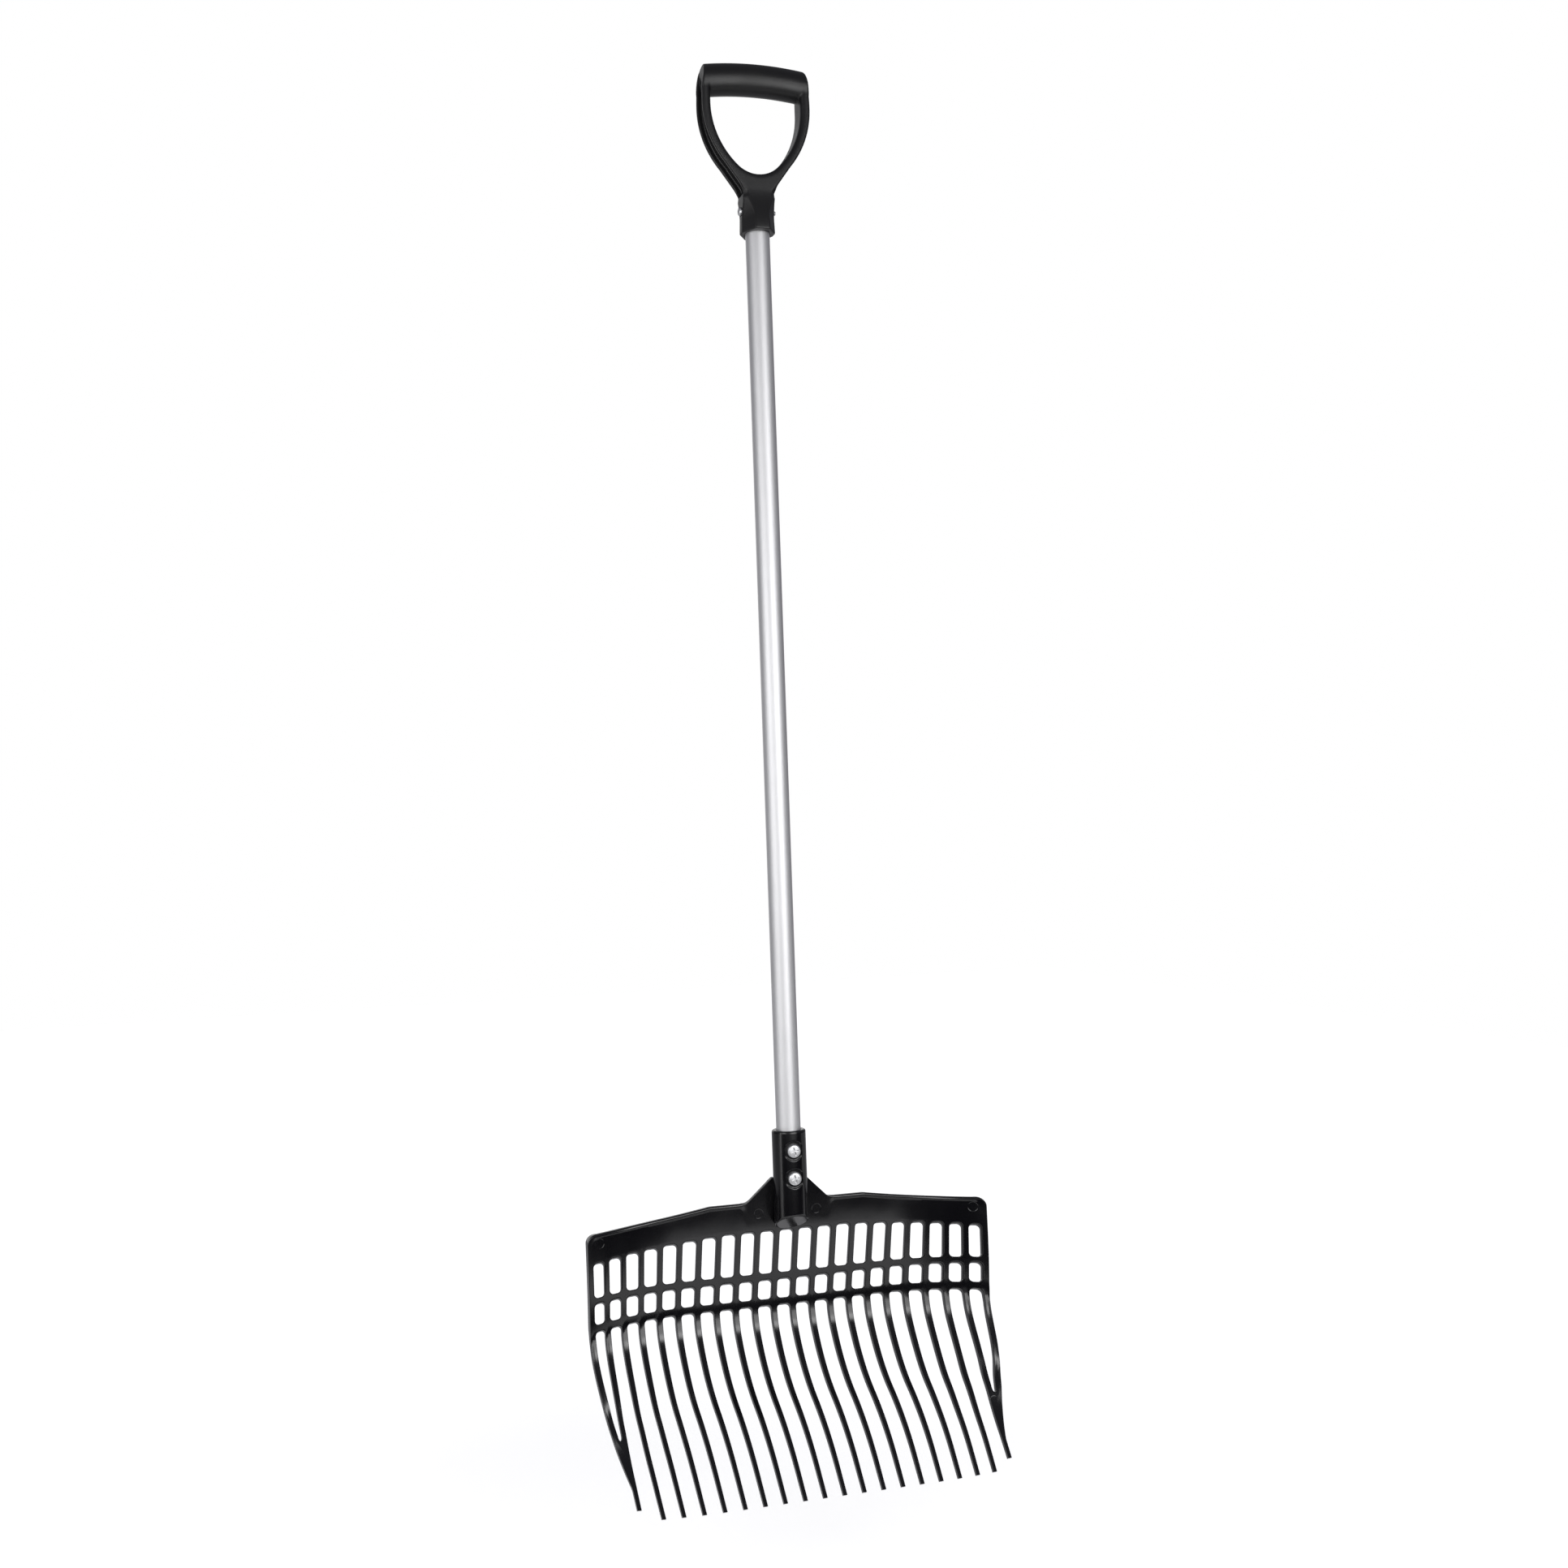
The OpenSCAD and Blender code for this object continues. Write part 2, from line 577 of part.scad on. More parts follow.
// below the widest place an arm keeps its thickness, and its inner arc runs on into the opening's lower end
hand_r = (sq(hand_half_w) + sq(grip_wide_z - palm_up) - sq(palm_r)) / (2 * (hand_half_w - palm_r));
arm_lower_r = hand_r + arm_t;
hand_low_z = grip_wide_z - hand_r * (grip_wide_z - palm_up) / (hand_r - palm_r);
yoke_z = palm_up - palm_r * cos(45);
yoke_x = grip_half_w - arm_lower_r + sqrt(sq(arm_lower_r) - sq(grip_wide_z - yoke_z));
collar_waist_share = 0.6;
neck_flat_half_w = (neck_half_w + collar_flat_half_w) / 2;
screw_seat = neck_half_w;

// an upright outline whose two sides are arcs that stand plumb at the level of the widest place
module lens(half_w, r, low, high) {
    intersection() {
        translate([-half_w, low])
            square([2 * half_w, high - low]);
        if (r >= half_w)
            intersection() {
                translate([half_w - r, grip_wide_z])
                    circle(r);
                translate([r - half_w, grip_wide_z])
                    circle(r);
            }
        else
            union() {
                translate([half_w - r, grip_wide_z])
                    circle(r);
                translate([r - half_w, grip_wide_z])
                    circle(r);
                translate([r - half_w, grip_wide_z - r])
                    square([2 * (half_w - r), 2 * r]);
            }
    }
}

module grip_outline(inset) {
    intersection() {
        union() {
            lens(grip_half_w - inset, arm_lower_r - inset, yoke_z, grip_wide_z);
            lens(grip_half_w - inset, arm_upper_r - inset, grip_wide_z, grip_h);
        }
        translate([0, grip_bar_z - grip_arch_r])
            circle(grip_arch_r + grip_bar_d / 2);
    }
}

module hand_opening() {
    translate([0, palm_up])
        circle(palm_r);
    lens(hand_half_w, hand_r, hand_low_z, grip_wide_z);
    translate([-hand_half_w, grip_wide_z])
        square([2 * hand_half_w, grip_h - grip_wide_z + overrun]);
}

// plates of the grip stand across the depth, so an outline is drawn in X and Z
module upright(depth) {
    translate([0, depth / 2, 0])
        rotate([90, 0, 0])
            linear_extrude(depth)
                children();
}

// the arms end at the bar's middle line, and a groove runs along the outer side of each
module grip_arms() {
    difference() {
        upright(arm_depth)
            difference() {
                intersection() {
                    grip_outline(0);
                    translate([0, grip_bar_z - grip_arch_r])
                        circle(grip_arch_r);
                }
                hand_opening();
            }
        upright(groove_w)
            difference() {
                intersection() {
                    grip_outline(0);
                    translate([-grip_half_w, yoke_z])
                        square([2 * grip_half_w, grip_bar_z - grip_bar_d / 2 - yoke_z]);
                }
                grip_outline(groove_depth);
            }
    }
}

module grip_bar() {
    intersection() {
        translate([0, 0, grip_bar_z - grip_arch_r])
            rotate([90, 0, 0])
                rotate_extrude()
                    translate([grip_arch_r, 0])
                        circle(d = grip_bar_d);
        upright(2 * grip_bar_d)
            intersection() {
                grip_outline(0);
                translate([-grip_half_w, grip_wide_z])
                    square([2 * grip_half_w, grip_h - grip_wide_z]);
            }
    }
}

module grip_yoke() {
    upright(arm_depth)
        difference() {
            polygon([[-neck_flat_half_w, collar_h], [neck_flat_half_w, collar_h],
                [yoke_x, yoke_z], [-yoke_x, yoke_z]]);
            translate([0, palm_up])
                circle(palm_r);
        }
}

// rings of the eight-sided collar: at the mouth, at its waist and at the neck
function collar_ring(z, w, d, flat) =
    [for (p = [[flat, -d], [w, -collar_side_half_w], [w, collar_side_half_w], [flat, d],
        [-flat, d], [-w, collar_side_half_w], [-w, -collar_side_half_w], [-flat, -d]]) [p[0], p[1], z]];
collar_rings = [
    collar_ring(0, collar_half_w, collar_half_d, collar_flat_half_w),
    collar_ring(collar_h * collar_waist_share, (collar_half_w + neck_half_w) / 2,
        (collar_half_d + arm_depth / 2) / 2, collar_flat_half_w),
    collar_ring(collar_h, neck_half_w, arm_depth / 2, neck_flat_half_w)];

module collar() {
    n = len(collar_rings[0]);
    polyhedron(points = [for (r = collar_rings) each r],
        faces = concat([[for (i = [0 : n - 1]) i]],
            [for (j = [0 : 1], i = [0 : n - 1])
                each quad(j * n + i, (j + 1) * n + i, (j + 1) * n + (i + 1) % n, j * n + (i + 1) % n)],
            [[for (i = [n - 1 : -1 : 0]) 2 * n + i]]));
}

module along_x(x, z) {
    translate([x, 0, z])
        rotate([0, 90, 0])
            children();
}

module d_grip() {
    color(grip_black)
        translate([0, 0, tube_free_l])
            difference() {
                union() {
                    grip_arms();
                    grip_bar();
                    grip_yoke();
                    collar();
                }
                translate([0, 0, -overrun])
                    cylinder(d = bore_d, h = tube_in_grip_l + overrun);
                along_x(-collar_half_w - overrun, screw_up)
                    cylinder(d = screw_d + 2 * bolt_gap, h = 2 * (collar_half_w + overrun));
                along_x(-2 * collar_half_w, screw_up)
                    cylinder(d = screw_head_d + 2 * bolt_gap, h = 2 * collar_half_w - screw_seat);
            }
}

module grip_screw() {
    color(zinc)
        translate([0, 0, tube_free_l])
            union() {
                along_x(-screw_seat, screw_up)
                    mirror([0, 0, 1])
                        pan_head(screw_head_d, screw_head_h);
                along_x(-screw_seat, screw_up)
                    cylinder(d = screw_d, h = screw_seat + collar_half_w + screw_out_l);
            }
}

tube_l = tube_in_head_l + tube_free_l + tube_in_grip_l;

module shaft_tube() {
    color(aluminium)
        difference() {
            translate([0, 0, -tube_in_head_l])
                cylinder(d = tube_d, h = tube_l);
            translate([0, 0, -tube_in_head_l - overrun])
                cylinder(d = tube_d - 2 * tube_wall, h = tube_l + 2 * overrun);
            for (z = bolt_levels)
                across(z)
                    cylinder(d = bolt_hole_d, h = 2 * tube_d, center = true);
            along_x(-tube_d, tube_free_l + screw_up)
                cylinder(d = screw_d + 2 * bolt_gap, h = 2 * tube_d);
        }
}

module head_bolt_upper() { head_bolt(bolt_levels[0]); }
module head_bolt_lower() { head_bolt(bolt_levels[1]); }
module head_nut_upper() { head_nut(bolt_levels[0]); }
module head_nut_lower() { head_nut(bolt_levels[1]); }
module side_bar_left() { side_bar(-1); }
module side_bar_right() { side_bar(1); }

d_grip();
grip_screw();
shaft_tube();
fork_head();
head_bolt_upper();
head_bolt_lower();
head_nut_upper();
head_nut_lower();
side_bar_left();
side_bar_right();
tine(1);  // tine_01
tine(2);  // tine_02
tine(3);  // tine_03
tine(4);  // tine_04
tine(5);  // tine_05
tine(6);  // tine_06
tine(7);  // tine_07
tine(8);  // tine_08
tine(9);  // tine_09
tine(10);  // tine_10
tine(11);  // tine_11
tine(12);  // tine_12
tine(13);  // tine_13
tine(14);  // tine_14
tine(15);  // tine_15
tine(16);  // tine_16
tine(17);  // tine_17
tine(18);  // tine_18
tine(19);  // tine_19
tine(20);  // tine_20
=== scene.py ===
import math

import bmesh
import bpy
import numpy as np
from mathutils import Matrix


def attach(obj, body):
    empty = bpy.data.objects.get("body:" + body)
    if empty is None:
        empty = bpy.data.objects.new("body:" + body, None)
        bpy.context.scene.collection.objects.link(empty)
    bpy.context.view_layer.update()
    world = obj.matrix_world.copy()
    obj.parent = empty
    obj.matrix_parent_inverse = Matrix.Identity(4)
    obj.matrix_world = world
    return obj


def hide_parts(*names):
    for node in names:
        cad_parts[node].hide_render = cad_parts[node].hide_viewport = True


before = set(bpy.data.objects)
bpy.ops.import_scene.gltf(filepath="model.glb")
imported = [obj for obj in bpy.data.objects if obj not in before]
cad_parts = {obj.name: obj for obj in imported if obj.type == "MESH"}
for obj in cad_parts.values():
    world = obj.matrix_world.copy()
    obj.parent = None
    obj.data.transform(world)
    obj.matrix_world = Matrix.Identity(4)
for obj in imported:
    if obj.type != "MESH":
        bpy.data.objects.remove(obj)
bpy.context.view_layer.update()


# The shaft is a drawn aluminium tube, 22 mm across, with a satin skin. Fine lines run along it from the drawing, and
# the metal is a little uneven in tone. Two bolts hold its lower end in the head's socket, and one screw holds the
# grip on its upper end.
tube_r, tube_wall = 0.011, 0.0015
tube_low, tube_high = -0.066, 0.848
tube_sides = 96
aluminium_dark, aluminium_light = (0.70, 0.70, 0.71, 1), (0.78, 0.78, 0.79, 1)
drawn_scale = (900.0, 900.0, 6.0)


def put_in(name, points, faces, material, nodes, crease=35, same_place=1e-6):
    """A piece from its corner points and faces, smooth but for edges that turn by more than the crease angle."""
    mesh = bpy.data.meshes.new(name)
    mesh.from_pydata(points, [], faces)
    tidy = bmesh.new()
    tidy.from_mesh(mesh)
    bmesh.ops.remove_doubles(tidy, verts=tidy.verts, dist=same_place)
    bmesh.ops.recalc_face_normals(tidy, faces=tidy.faces)
    tidy.to_mesh(mesh)
    tidy.free()
    mesh.polygons.foreach_set("use_smooth", np.ones(len(mesh.polygons), bool))
    mesh.set_sharp_from_angle(angle=math.radians(crease))
    mesh.materials.append(material)
    piece = bpy.data.objects.new(name, mesh)
    bpy.context.scene.collection.objects.link(piece)
    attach(piece, "root")
    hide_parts(*nodes)
    return piece


def grid_faces(rows, columns, start=0, closed=False):
    """Quads of a grid whose points are numbered row by row; a closed one joins its last column to its first."""
    i = np.arange(rows - 1)[:, None]
    j = np.arange(columns if closed else columns - 1)[None, :]
    k = (j + 1) % columns
    corners = [i * columns + j, i * columns + k, (i + 1) * columns + k, (i + 1) * columns + j]
    return np.stack([np.broadcast_to(c, np.broadcast(i, j).shape) for c in corners], -1).reshape(-1, 4) + start


def new_material(name):
    """An empty material with its Principled shader; returns the material, its tree and the shader."""
    material = bpy.data.materials.new(name)
    material.use_nodes = True
    return material, material.node_tree, material.node_tree.nodes["Principled BSDF"]


def add(tree, kind, values=(), **settings):
    """A new shader node in a tree, with its settings and then the values of its inputs."""
    made = tree.nodes.new("ShaderNode" + kind)
    for name, value in settings.items():
        setattr(made, name, value)
    for name, value in dict(values).items():
        made.inputs[name].default_value = value
    return made


def wire(tree, *links):
    """Links in a tree, each given as a node, its output, the next node and its input."""
    for source, out, target, into in links:
        tree.links.new(source.outputs[out], target.inputs[into])


aluminium, tree, shader = new_material("satin_aluminium")
shader.inputs["Metallic"].default_value = 1.0
place = add(tree, "TexCoord")
along = add(tree, "Mapping", {"Scale": drawn_scale})
lines = add(tree, "TexNoise", {"Scale": 1.0, "Detail": 4.0})
cloud = add(tree, "TexNoise", {"Scale": 9.0, "Detail": 3.0})
tone = add(tree, "ValToRGB")
tone.color_ramp.elements[0].color = aluminium_dark
tone.color_ramp.elements[1].color = aluminium_light
rough = add(tree, "MapRange", {"To Min": 0.52, "To Max": 0.62})
bump = add(tree, "Bump", {"Strength": 0.05, "Distance": 0.0002})
wire(tree, (place, "Object", along, "Vector"), (along, "Vector", lines, "Vector"),
     (place, "Object", cloud, "Vector"), (cloud, "Fac", tone, "Fac"), (lines, "Fac", rough, "Value"),
     (lines, "Fac", bump, "Height"), (tone, "Color", shader, "Base Color"),
     (rough, "Result", shader, "Roughness"), (bump, "Normal", shader, "Normal"))

# The section of the wall, carried round the axis.
turn = np.linspace(0, 2 * np.pi, tube_sides, endpoint=False)
wall_r = np.array([tube_r - tube_wall, tube_r, tube_r, tube_r - tube_wall, tube_r - tube_wall])
wall_z = np.array([tube_low, tube_low, tube_high, tube_high, tube_low])
tube = np.stack(np.broadcast_arrays(wall_r[:, None] * np.cos(turn), wall_r[:, None] * np.sin(turn),
                                    wall_z[:, None]), -1)
put_in("shaft_tube_skin", tube.reshape(-1, 3), grid_faces(len(wall_z), tube_sides, closed=True), aluminium,
       ["shaft_tube"])


# The fork's head is one glossy black moulding. Its plate leans back below a stiff rim, holds two rows of slots, bends
# forward at the heel and runs out into twenty tines, and its sides roll forward. Every edge that the mould's halves
# leave is softly rounded.
columns = 10
bar_pitch, bar_w = 0.018, 0.005
even_half, crowd_r = 0.100, 0.150
tine_draw, outer_draw, outer_short = 0.03, 0.018, 0.0065
wall_depth, tip_depth, tip_w = 0.0065, 0.0044, 0.0032
rim_z, rim_depth, rim_h, rim_room = -0.065, 0.011, 0.005, 0.8
rim_fall, rim_flat, rim_corner_r = 0.012, 0.072, 0.008
web_half, web_h, web_t, web_lead, web_fade = 0.038, 0.022, 0.005, 0.002, 0.006
socket_r, hidden_half, hidden_z = 0.01525, 0.013, -0.068
band_h, upper_slot_h, rail_h, lower_slot_h, heel_rail_h = 0.0268, 0.041, 0.0062, 0.0186, 0.006
band_side_h, band_flat, slot_r, rise_r = 0.0105, 0.060, 0.004, 6.0
upper_z = rim_z - band_h
rail_z = upper_z - upper_slot_h
lower_z = rail_z - rail_h
heel_z = lower_z - lower_slot_h
gap_z = heel_z - heel_rail_h
root_z = gap_z - 2 * slot_r
draw_a = math.radians(25)
inward = np.array([0, math.cos(draw_a), -math.sin(draw_a)])
plate_back, plate_l = 0.0077, 0.091
lean_deg, heel_deg, sweep_deg, toe_deg = 15.5, 49, 29, 17
heel_r, sweep_r, toe_r, tip_l = 0.042, 0.140, 0.245, 0.025
plate_lean = math.radians(lean_deg)
heel_a = math.radians(heel_deg - lean_deg)
sweep_a = heel_a + math.radians(sweep_deg)
toe_a = sweep_a - math.radians(toe_deg)
side_r, roll_limit = 0.176, 0.99
fold_half, fold_z, fold_upper_r, fold_lower_r = 0.0715, rim_z - 0.135, 0.190, 0.025
sag_half, sag_r, sag_z, sag_l = 0.090, 0.415, rim_z - 0.149, 0.040
side_bar_z, side_bar_r, side_gap_z, side_gap_lead = rim_z - 0.100, 0.327, rim_z - 0.1775, 0.0012
band_tilt, tilt_fade = 0.08, 0.040
bead_r, bead_out, bead_fall, bead_in, bead_end = 0.0022, 0.0007, 0.0042, 0.004, 0.010
stiff_in = 0.012


def arc_end(start, r, a, b):
    """End of an arc of the side view, from its start, radius and the headings at its two ends."""
    return (start[0] + r * (math.cos(b) - math.cos(a)), start[1] + r * (math.sin(a) - math.sin(b)))


plate_end = (plate_back + plate_l * math.sin(plate_lean), rim_z - plate_l * math.cos(plate_lean))
heel_end = arc_end(plate_end, heel_r, -plate_lean, heel_a)
sweep_end = arc_end(heel_end, sweep_r, heel_a, sweep_a)
toe_end = arc_end(sweep_end, -toe_r, sweep_a, toe_a)
tip_z = toe_end[1] - tip_l * math.cos(toe_a)


def arc_y(start, r, a, z):
    """Depth of an arc of the side view at a height."""
    return start[0] + r * (np.cos(np.arcsin(np.clip(math.sin(a) + (start[1] - z) / r, -1, 1))) - math.cos(a))


def ease(t):
    """Smooth step from 0 to 1."""
    t = np.clip(t, 0, 1)
    return t * t * (3 - 2 * t)


def front(x, z):
    """Points of the front face at places x across and heights z: a straight plate, a heel arc, a long forward
    sweep, a toe that bends back and a straight tip, with the sides rolled forward about an upright axis outside a
    fold line, the plain band tilted a little and the outer tips fallen back a little."""
    y = np.select(
        [z >= plate_end[1], z >= heel_end[1], z >= sweep_end[1], z >= toe_end[1]],
        [plate_back + (rim_z - z) * math.tan(plate_lean), arc_y(plate_end, heel_r, -plate_lean, z),
         arc_y(heel_end, sweep_r, heel_a, z), arc_y(sweep_end, -toe_r, sweep_a, z)],
        toe_end[0] - (toe_end[1] - z) * math.tan(toe_a))
    fold = fold_half + (z - fold_z) ** 2 / np.where(z > fold_z, 2 * fold_upper_r, 2 * fold_lower_r)
    w = np.clip(np.abs(x) - fold, 0, side_r * roll_limit)
    y = y + np.clip(z - band_line(x), 0, None) * band_tilt * np.clip((edge_x - np.abs(x)) / tilt_fade, 0, 1)
    sag = np.clip(np.abs(x) - sag_half, 0, None) ** 2 / (2 * sag_r) * ease((sag_z - z) / sag_l)
    return np.stack([x, y - side_r + np.sqrt(side_r ** 2 - w ** 2) + sag, z], -1)


def down(z):
    """How far a height is down the tines, from 0 at the roots to 1 at the tips."""
    return np.clip((root_z - z) / (root_z - tip_z), 0, 1)


def bar_x(n):
    """Middle of the n-th bar from the middle, 1, 2, 3 to the right and -1, -2, -3 to the left; the outer bars close
    up as if they stood on an arc."""
    u = (abs(n) - 0.5) * bar_pitch
    return math.copysign(u if u <= even_half else even_half + crowd_r * math.sin((u - even_half) / crowd_r), n)


def tine_x(b, z):
    """Middle line of a tine at heights z, drawing together towards the tips."""
    return bar_x(b) * (1 - (outer_draw if abs(b) == columns else tine_draw) * down(z) ** 2)


def tine_half(z):
    """Half width of a tine."""
    return (bar_w + (tip_w - bar_w) * down(z)) / 2


def depth_at(z):
    """Depth of the moulding along the mould's draw, which gets less down the tines."""
    return wall_depth + (tip_depth - wall_depth) * down(z)


edge_x = bar_x(columns + 1) + bar_w / 2


def side_outer(z):
    """Outer edge of the plate and of the right side bar below it."""
    return np.maximum(edge_x - np.clip(side_bar_z - z, 0, None) ** 2 / (2 * side_bar_r),
                      tine_x(columns, z) + tine_half(z))


def rise(x):
    """How much the lower rail has risen towards the sides."""
    return x ** 2 / (2 * rise_r)


def upper_top(x):
    """Top of the upper slots."""
    return upper_z - band_side_h * np.clip((np.abs(x) - band_flat) / (edge_x - band_flat), 0, 1)


def upper_foot(x):
    """Lower end of the upper slots."""
    return rail_z + rise(x) / 2


def lower_top(x):
    """Top of the lower slots."""
    return lower_z + rise(x)


def lower_foot(x):
    """Lower end of the lower slots."""
    return heel_z + rise(x)


def band_line(x):
    """Line in the plate half a rail above the upper slots."""
    return upper_top(x) + rail_h / 2


def rail_line(x):
    """Line along the middle of the rail between the slot rows."""
    return upper_foot(x) - rail_h / 2


def heel_line(x):
    """Line along the middle of the rail above the tines."""
    return lower_foot(x) - heel_rail_h / 2


def rim_at(x):
    """Top edge of the plate, with its webs beside the socket and its round outer corners; inside the socket's wall it
    stays below the tube."""
    x = np.abs(x)
    web = rim_z + web_h * np.clip((web_half - x) / (web_half - socket_r), 0, 1)
    side = rim_z - rim_fall * np.sin(np.pi / 2 * np.clip((x - rim_flat) / (edge_x - rim_flat), 0, 1))
    bend = np.clip(x - edge_x + rim_corner_r, 0, rim_corner_r)
    line = np.where(x < web_half, web, side) - rim_corner_r + np.sqrt(rim_corner_r ** 2 - bend ** 2)
    return np.where(x < hidden_half, hidden_z, line)


# How finely the skin is divided, the rounds of its edges, and where the tines' fronts are square and crowned.
corner_n, across_n, root_n, tine_n, vee_n, side_n, bend_n = 8, 3, 3, 49, 6, 7, 8
upper_n, upper_corner, lower_n, lower_corner, across_corner, root_corner = 6, 0.13, 4, 0.25, 0.36, 0.4
front_round, rear_round, round_share, near_run, rear_run = 0.0010, 0.0004, 0.2, 1.25, 1.05
arc = np.linspace(0, np.pi / 2, 6)
arc_back = np.linspace(0, np.pi / 2, 4)
square_z, square_in, curl_z, curl_out = heel_z - 0.002, 0.012, -0.212, 0.022
crown_h, crown_in, crown_end, crown_out = 0.0001, 0.012, 0.010, 0.040


def face(p, line):
    """Points of the front face at rows p of (x, z) beside a middle line: the plate's own face, but where the tines
    and side bars bend at the heel, a face that keeps the depth of the middle line across their width."""
    square = ease((square_z - p[:, 1]) / square_in) * (1 - ease((curl_z - p[:, 1]) / curl_out))
    across = (line[:, 0] - p[:, 0]) * square
    return front(p[:, 0] + across, p[:, 1]) - np.stack([across, 0 * across, 0 * across], -1)


def crown(z):
    """How far the middle line of a tine's front stands out, which makes the front a little round."""
    return crown_h * np.clip((gap_z - z) / crown_in, 0, 1) * np.clip((z - tip_z - crown_end) / crown_out, 0, 1)


def tine_round(z):
    """Radius of the front edges' round, which is a share of the half width on the narrow tines."""
    return np.minimum(front_round, round_share * tine_half(z))


def moulded(hole, normal, boundary, soft, fill=1):
    """Skin of the moulding beside one edge of the pattern: from the boundary line on the front face over a round of
    radius soft into the wall along the mould's draw, and round again to the boundary line on the rear face. hole,
    normal and boundary are rows of (x, z), and fill is the number of strips between boundary and round."""
    soft = np.broadcast_to(soft, len(hole))[:, None]
    depth = depth_at(hole[:, 1])[:, None]
    last = rear_round / front_round * soft
    high = crown(boundary[:, 1:])
    near, rear = hole + near_run * soft * normal, hole + rear_run * last * normal
    shares = np.linspace(0, 1, fill + 1)
    rings = [face(boundary + (near - boundary) * s, boundary) - high * (1 - s) ** 2 * inward for s in shares]
    rings += [face(hole + soft * (1 - math.sin(a)) * normal, boundary) + soft * (1 - math.cos(a)) * inward
              for a in arc]
    rings += [face(hole + last * (1 - math.cos(a)) * normal, boundary) + (depth - last * (1 - math.sin(a))) * inward
              for a in arc_back]
    rings += [face(rear + (boundary - rear) * s, boundary) + depth * inward for s in shares[1:]]
    return np.stack(rings)


def fractions(straight, first):
    """Places 0..1 along one side of a cell: half a corner, a straight part and half a corner."""
    half = corner_n // 2
    return np.concatenate([np.linspace(0, first, half + 1)[:-1], np.linspace(first, 1 - first, straight + 1),
                           np.linspace(1 - first, 1, half + 1)[1:]])


def quarter(cx, cz, a):
    """Points and outward directions of a slot's corner round, from angle a on by a quarter turn."""
    t = math.radians(a) + np.linspace(0, np.pi / 2, corner_n + 1)
    way = np.stack([np.cos(t), np.sin(t)], -1)
    return np.array([cx, cz]) + slot_r * way, way


def side_line(p, q, n, way):
    """Points between two corners of a slot, without its ends, and their outward direction."""
    t = np.linspace(0, 1, n + 1)[1:-1, None]
    return p + (q - p) * t, np.broadcast_to(np.array(way, float), (n - 1, 2))


across_f = fractions(across_n, across_corner)
upper_f, lower_f = fractions(upper_n, upper_corner), fractions(lower_n, lower_corner)
root_f = np.concatenate([np.linspace(0, root_corner, root_n + 1),
                         np.linspace(root_corner, 1, corner_n // 2 + 1)[1:]])


def cell(k):
    """Left and right boundary and slot side of a column."""
    left, right = bar_x(k if k > 0 else k - 1), bar_x(k if k < 0 else k + 1)
    return left, right, left + bar_w / 2, right - bar_w / 2


def slot_cell(k, top, foot, high, low, straight, f):
    """Skin round one slot from its top to its foot, out to the middle lines of the bars and rails beside it, which
    are divided at the shares f."""
    left, right, a, b = cell(k)
    mid = (a + b) / 2
    t, u = top(mid), foot(mid)
    corners = [quarter(b - slot_r, t - slot_r, 0), quarter(a + slot_r, t - slot_r, 90),
               quarter(a + slot_r, u + slot_r, 180), quarter(b - slot_r, u + slot_r, 270)]
    counts = [across_n, straight, across_n, straight]
    ways = [(0, 1), (-1, 0), (0, -1), (1, 0)]
    hole, normal = [], []
    for i in range(4):
        line, way = side_line(corners[i][0][-1], corners[(i + 1) % 4][0][0], counts[i], ways[i])
        hole += [corners[i][0], line]
        normal += [corners[i][1], way]
    half = corner_n // 2
    x = left + (right - left) * across_f
    upright = [np.stack([np.full(len(f), e), low(e) + (high(e) - low(e)) * f], -1) for e in (left, right)]
    level = [np.stack([x, line(x)], -1) for line in (low, high)]
    ring = np.concatenate([upright[1][-half - 1:-1], level[1][::-1][:-1], upright[0][::-1][:-1], level[0][:-1],
                           upright[1][:-half - 1]])
    return moulded(np.concatenate(hole), np.concatenate(normal), ring, front_round)


def tine_levels(b):
    """Heights down a tine from its root to its flat end; the two outer tines end a little higher."""
    return np.linspace(root_z, tip_z + (outer_short if abs(b) == columns else 0), tine_n)


def arch(k):
    """Edge of the gap under a column from its left root up, over its round top and down to its right root, with the
    boundary that runs along the bars and the rail."""
    left, right, a, b = cell(k)
    top = gap_z + rise((a + b) / 2) - slot_r
    one, one_way = quarter(a + slot_r, top, 90)
    two, two_way = quarter(b - slot_r, top, 0)
    up = np.stack([np.full(root_n, a), np.linspace(root_z, top, root_n + 1)[:-1]], -1)
    over, over_way = side_line(one[0], two[-1], across_n, (0, 1))
    hole = np.concatenate([up, one[::-1], over, two[::-1], (up * [0, 1] + [b, 0])[::-1]])
    way = np.concatenate([np.tile([-1.0, 0], (root_n, 1)), one_way[::-1], over_way, two_way[::-1],
                          np.tile([1.0, 0], (root_n, 1))])
    x = left + (right - left) * across_f
    sides = []
    for e in (left, right):
        z = root_z + (heel_line(e) - root_z) * root_f
        sides.append(np.stack([np.sign(e) * (side_outer(z) - bar_w / 2) if abs(e) > edge_x - bar_w else
                               np.full(len(z), e), z], -1))
    ring = np.concatenate([sides[0][:-1], np.stack([x, heel_line(x)], -1), sides[1][::-1][1:]])
    return hole, way, ring


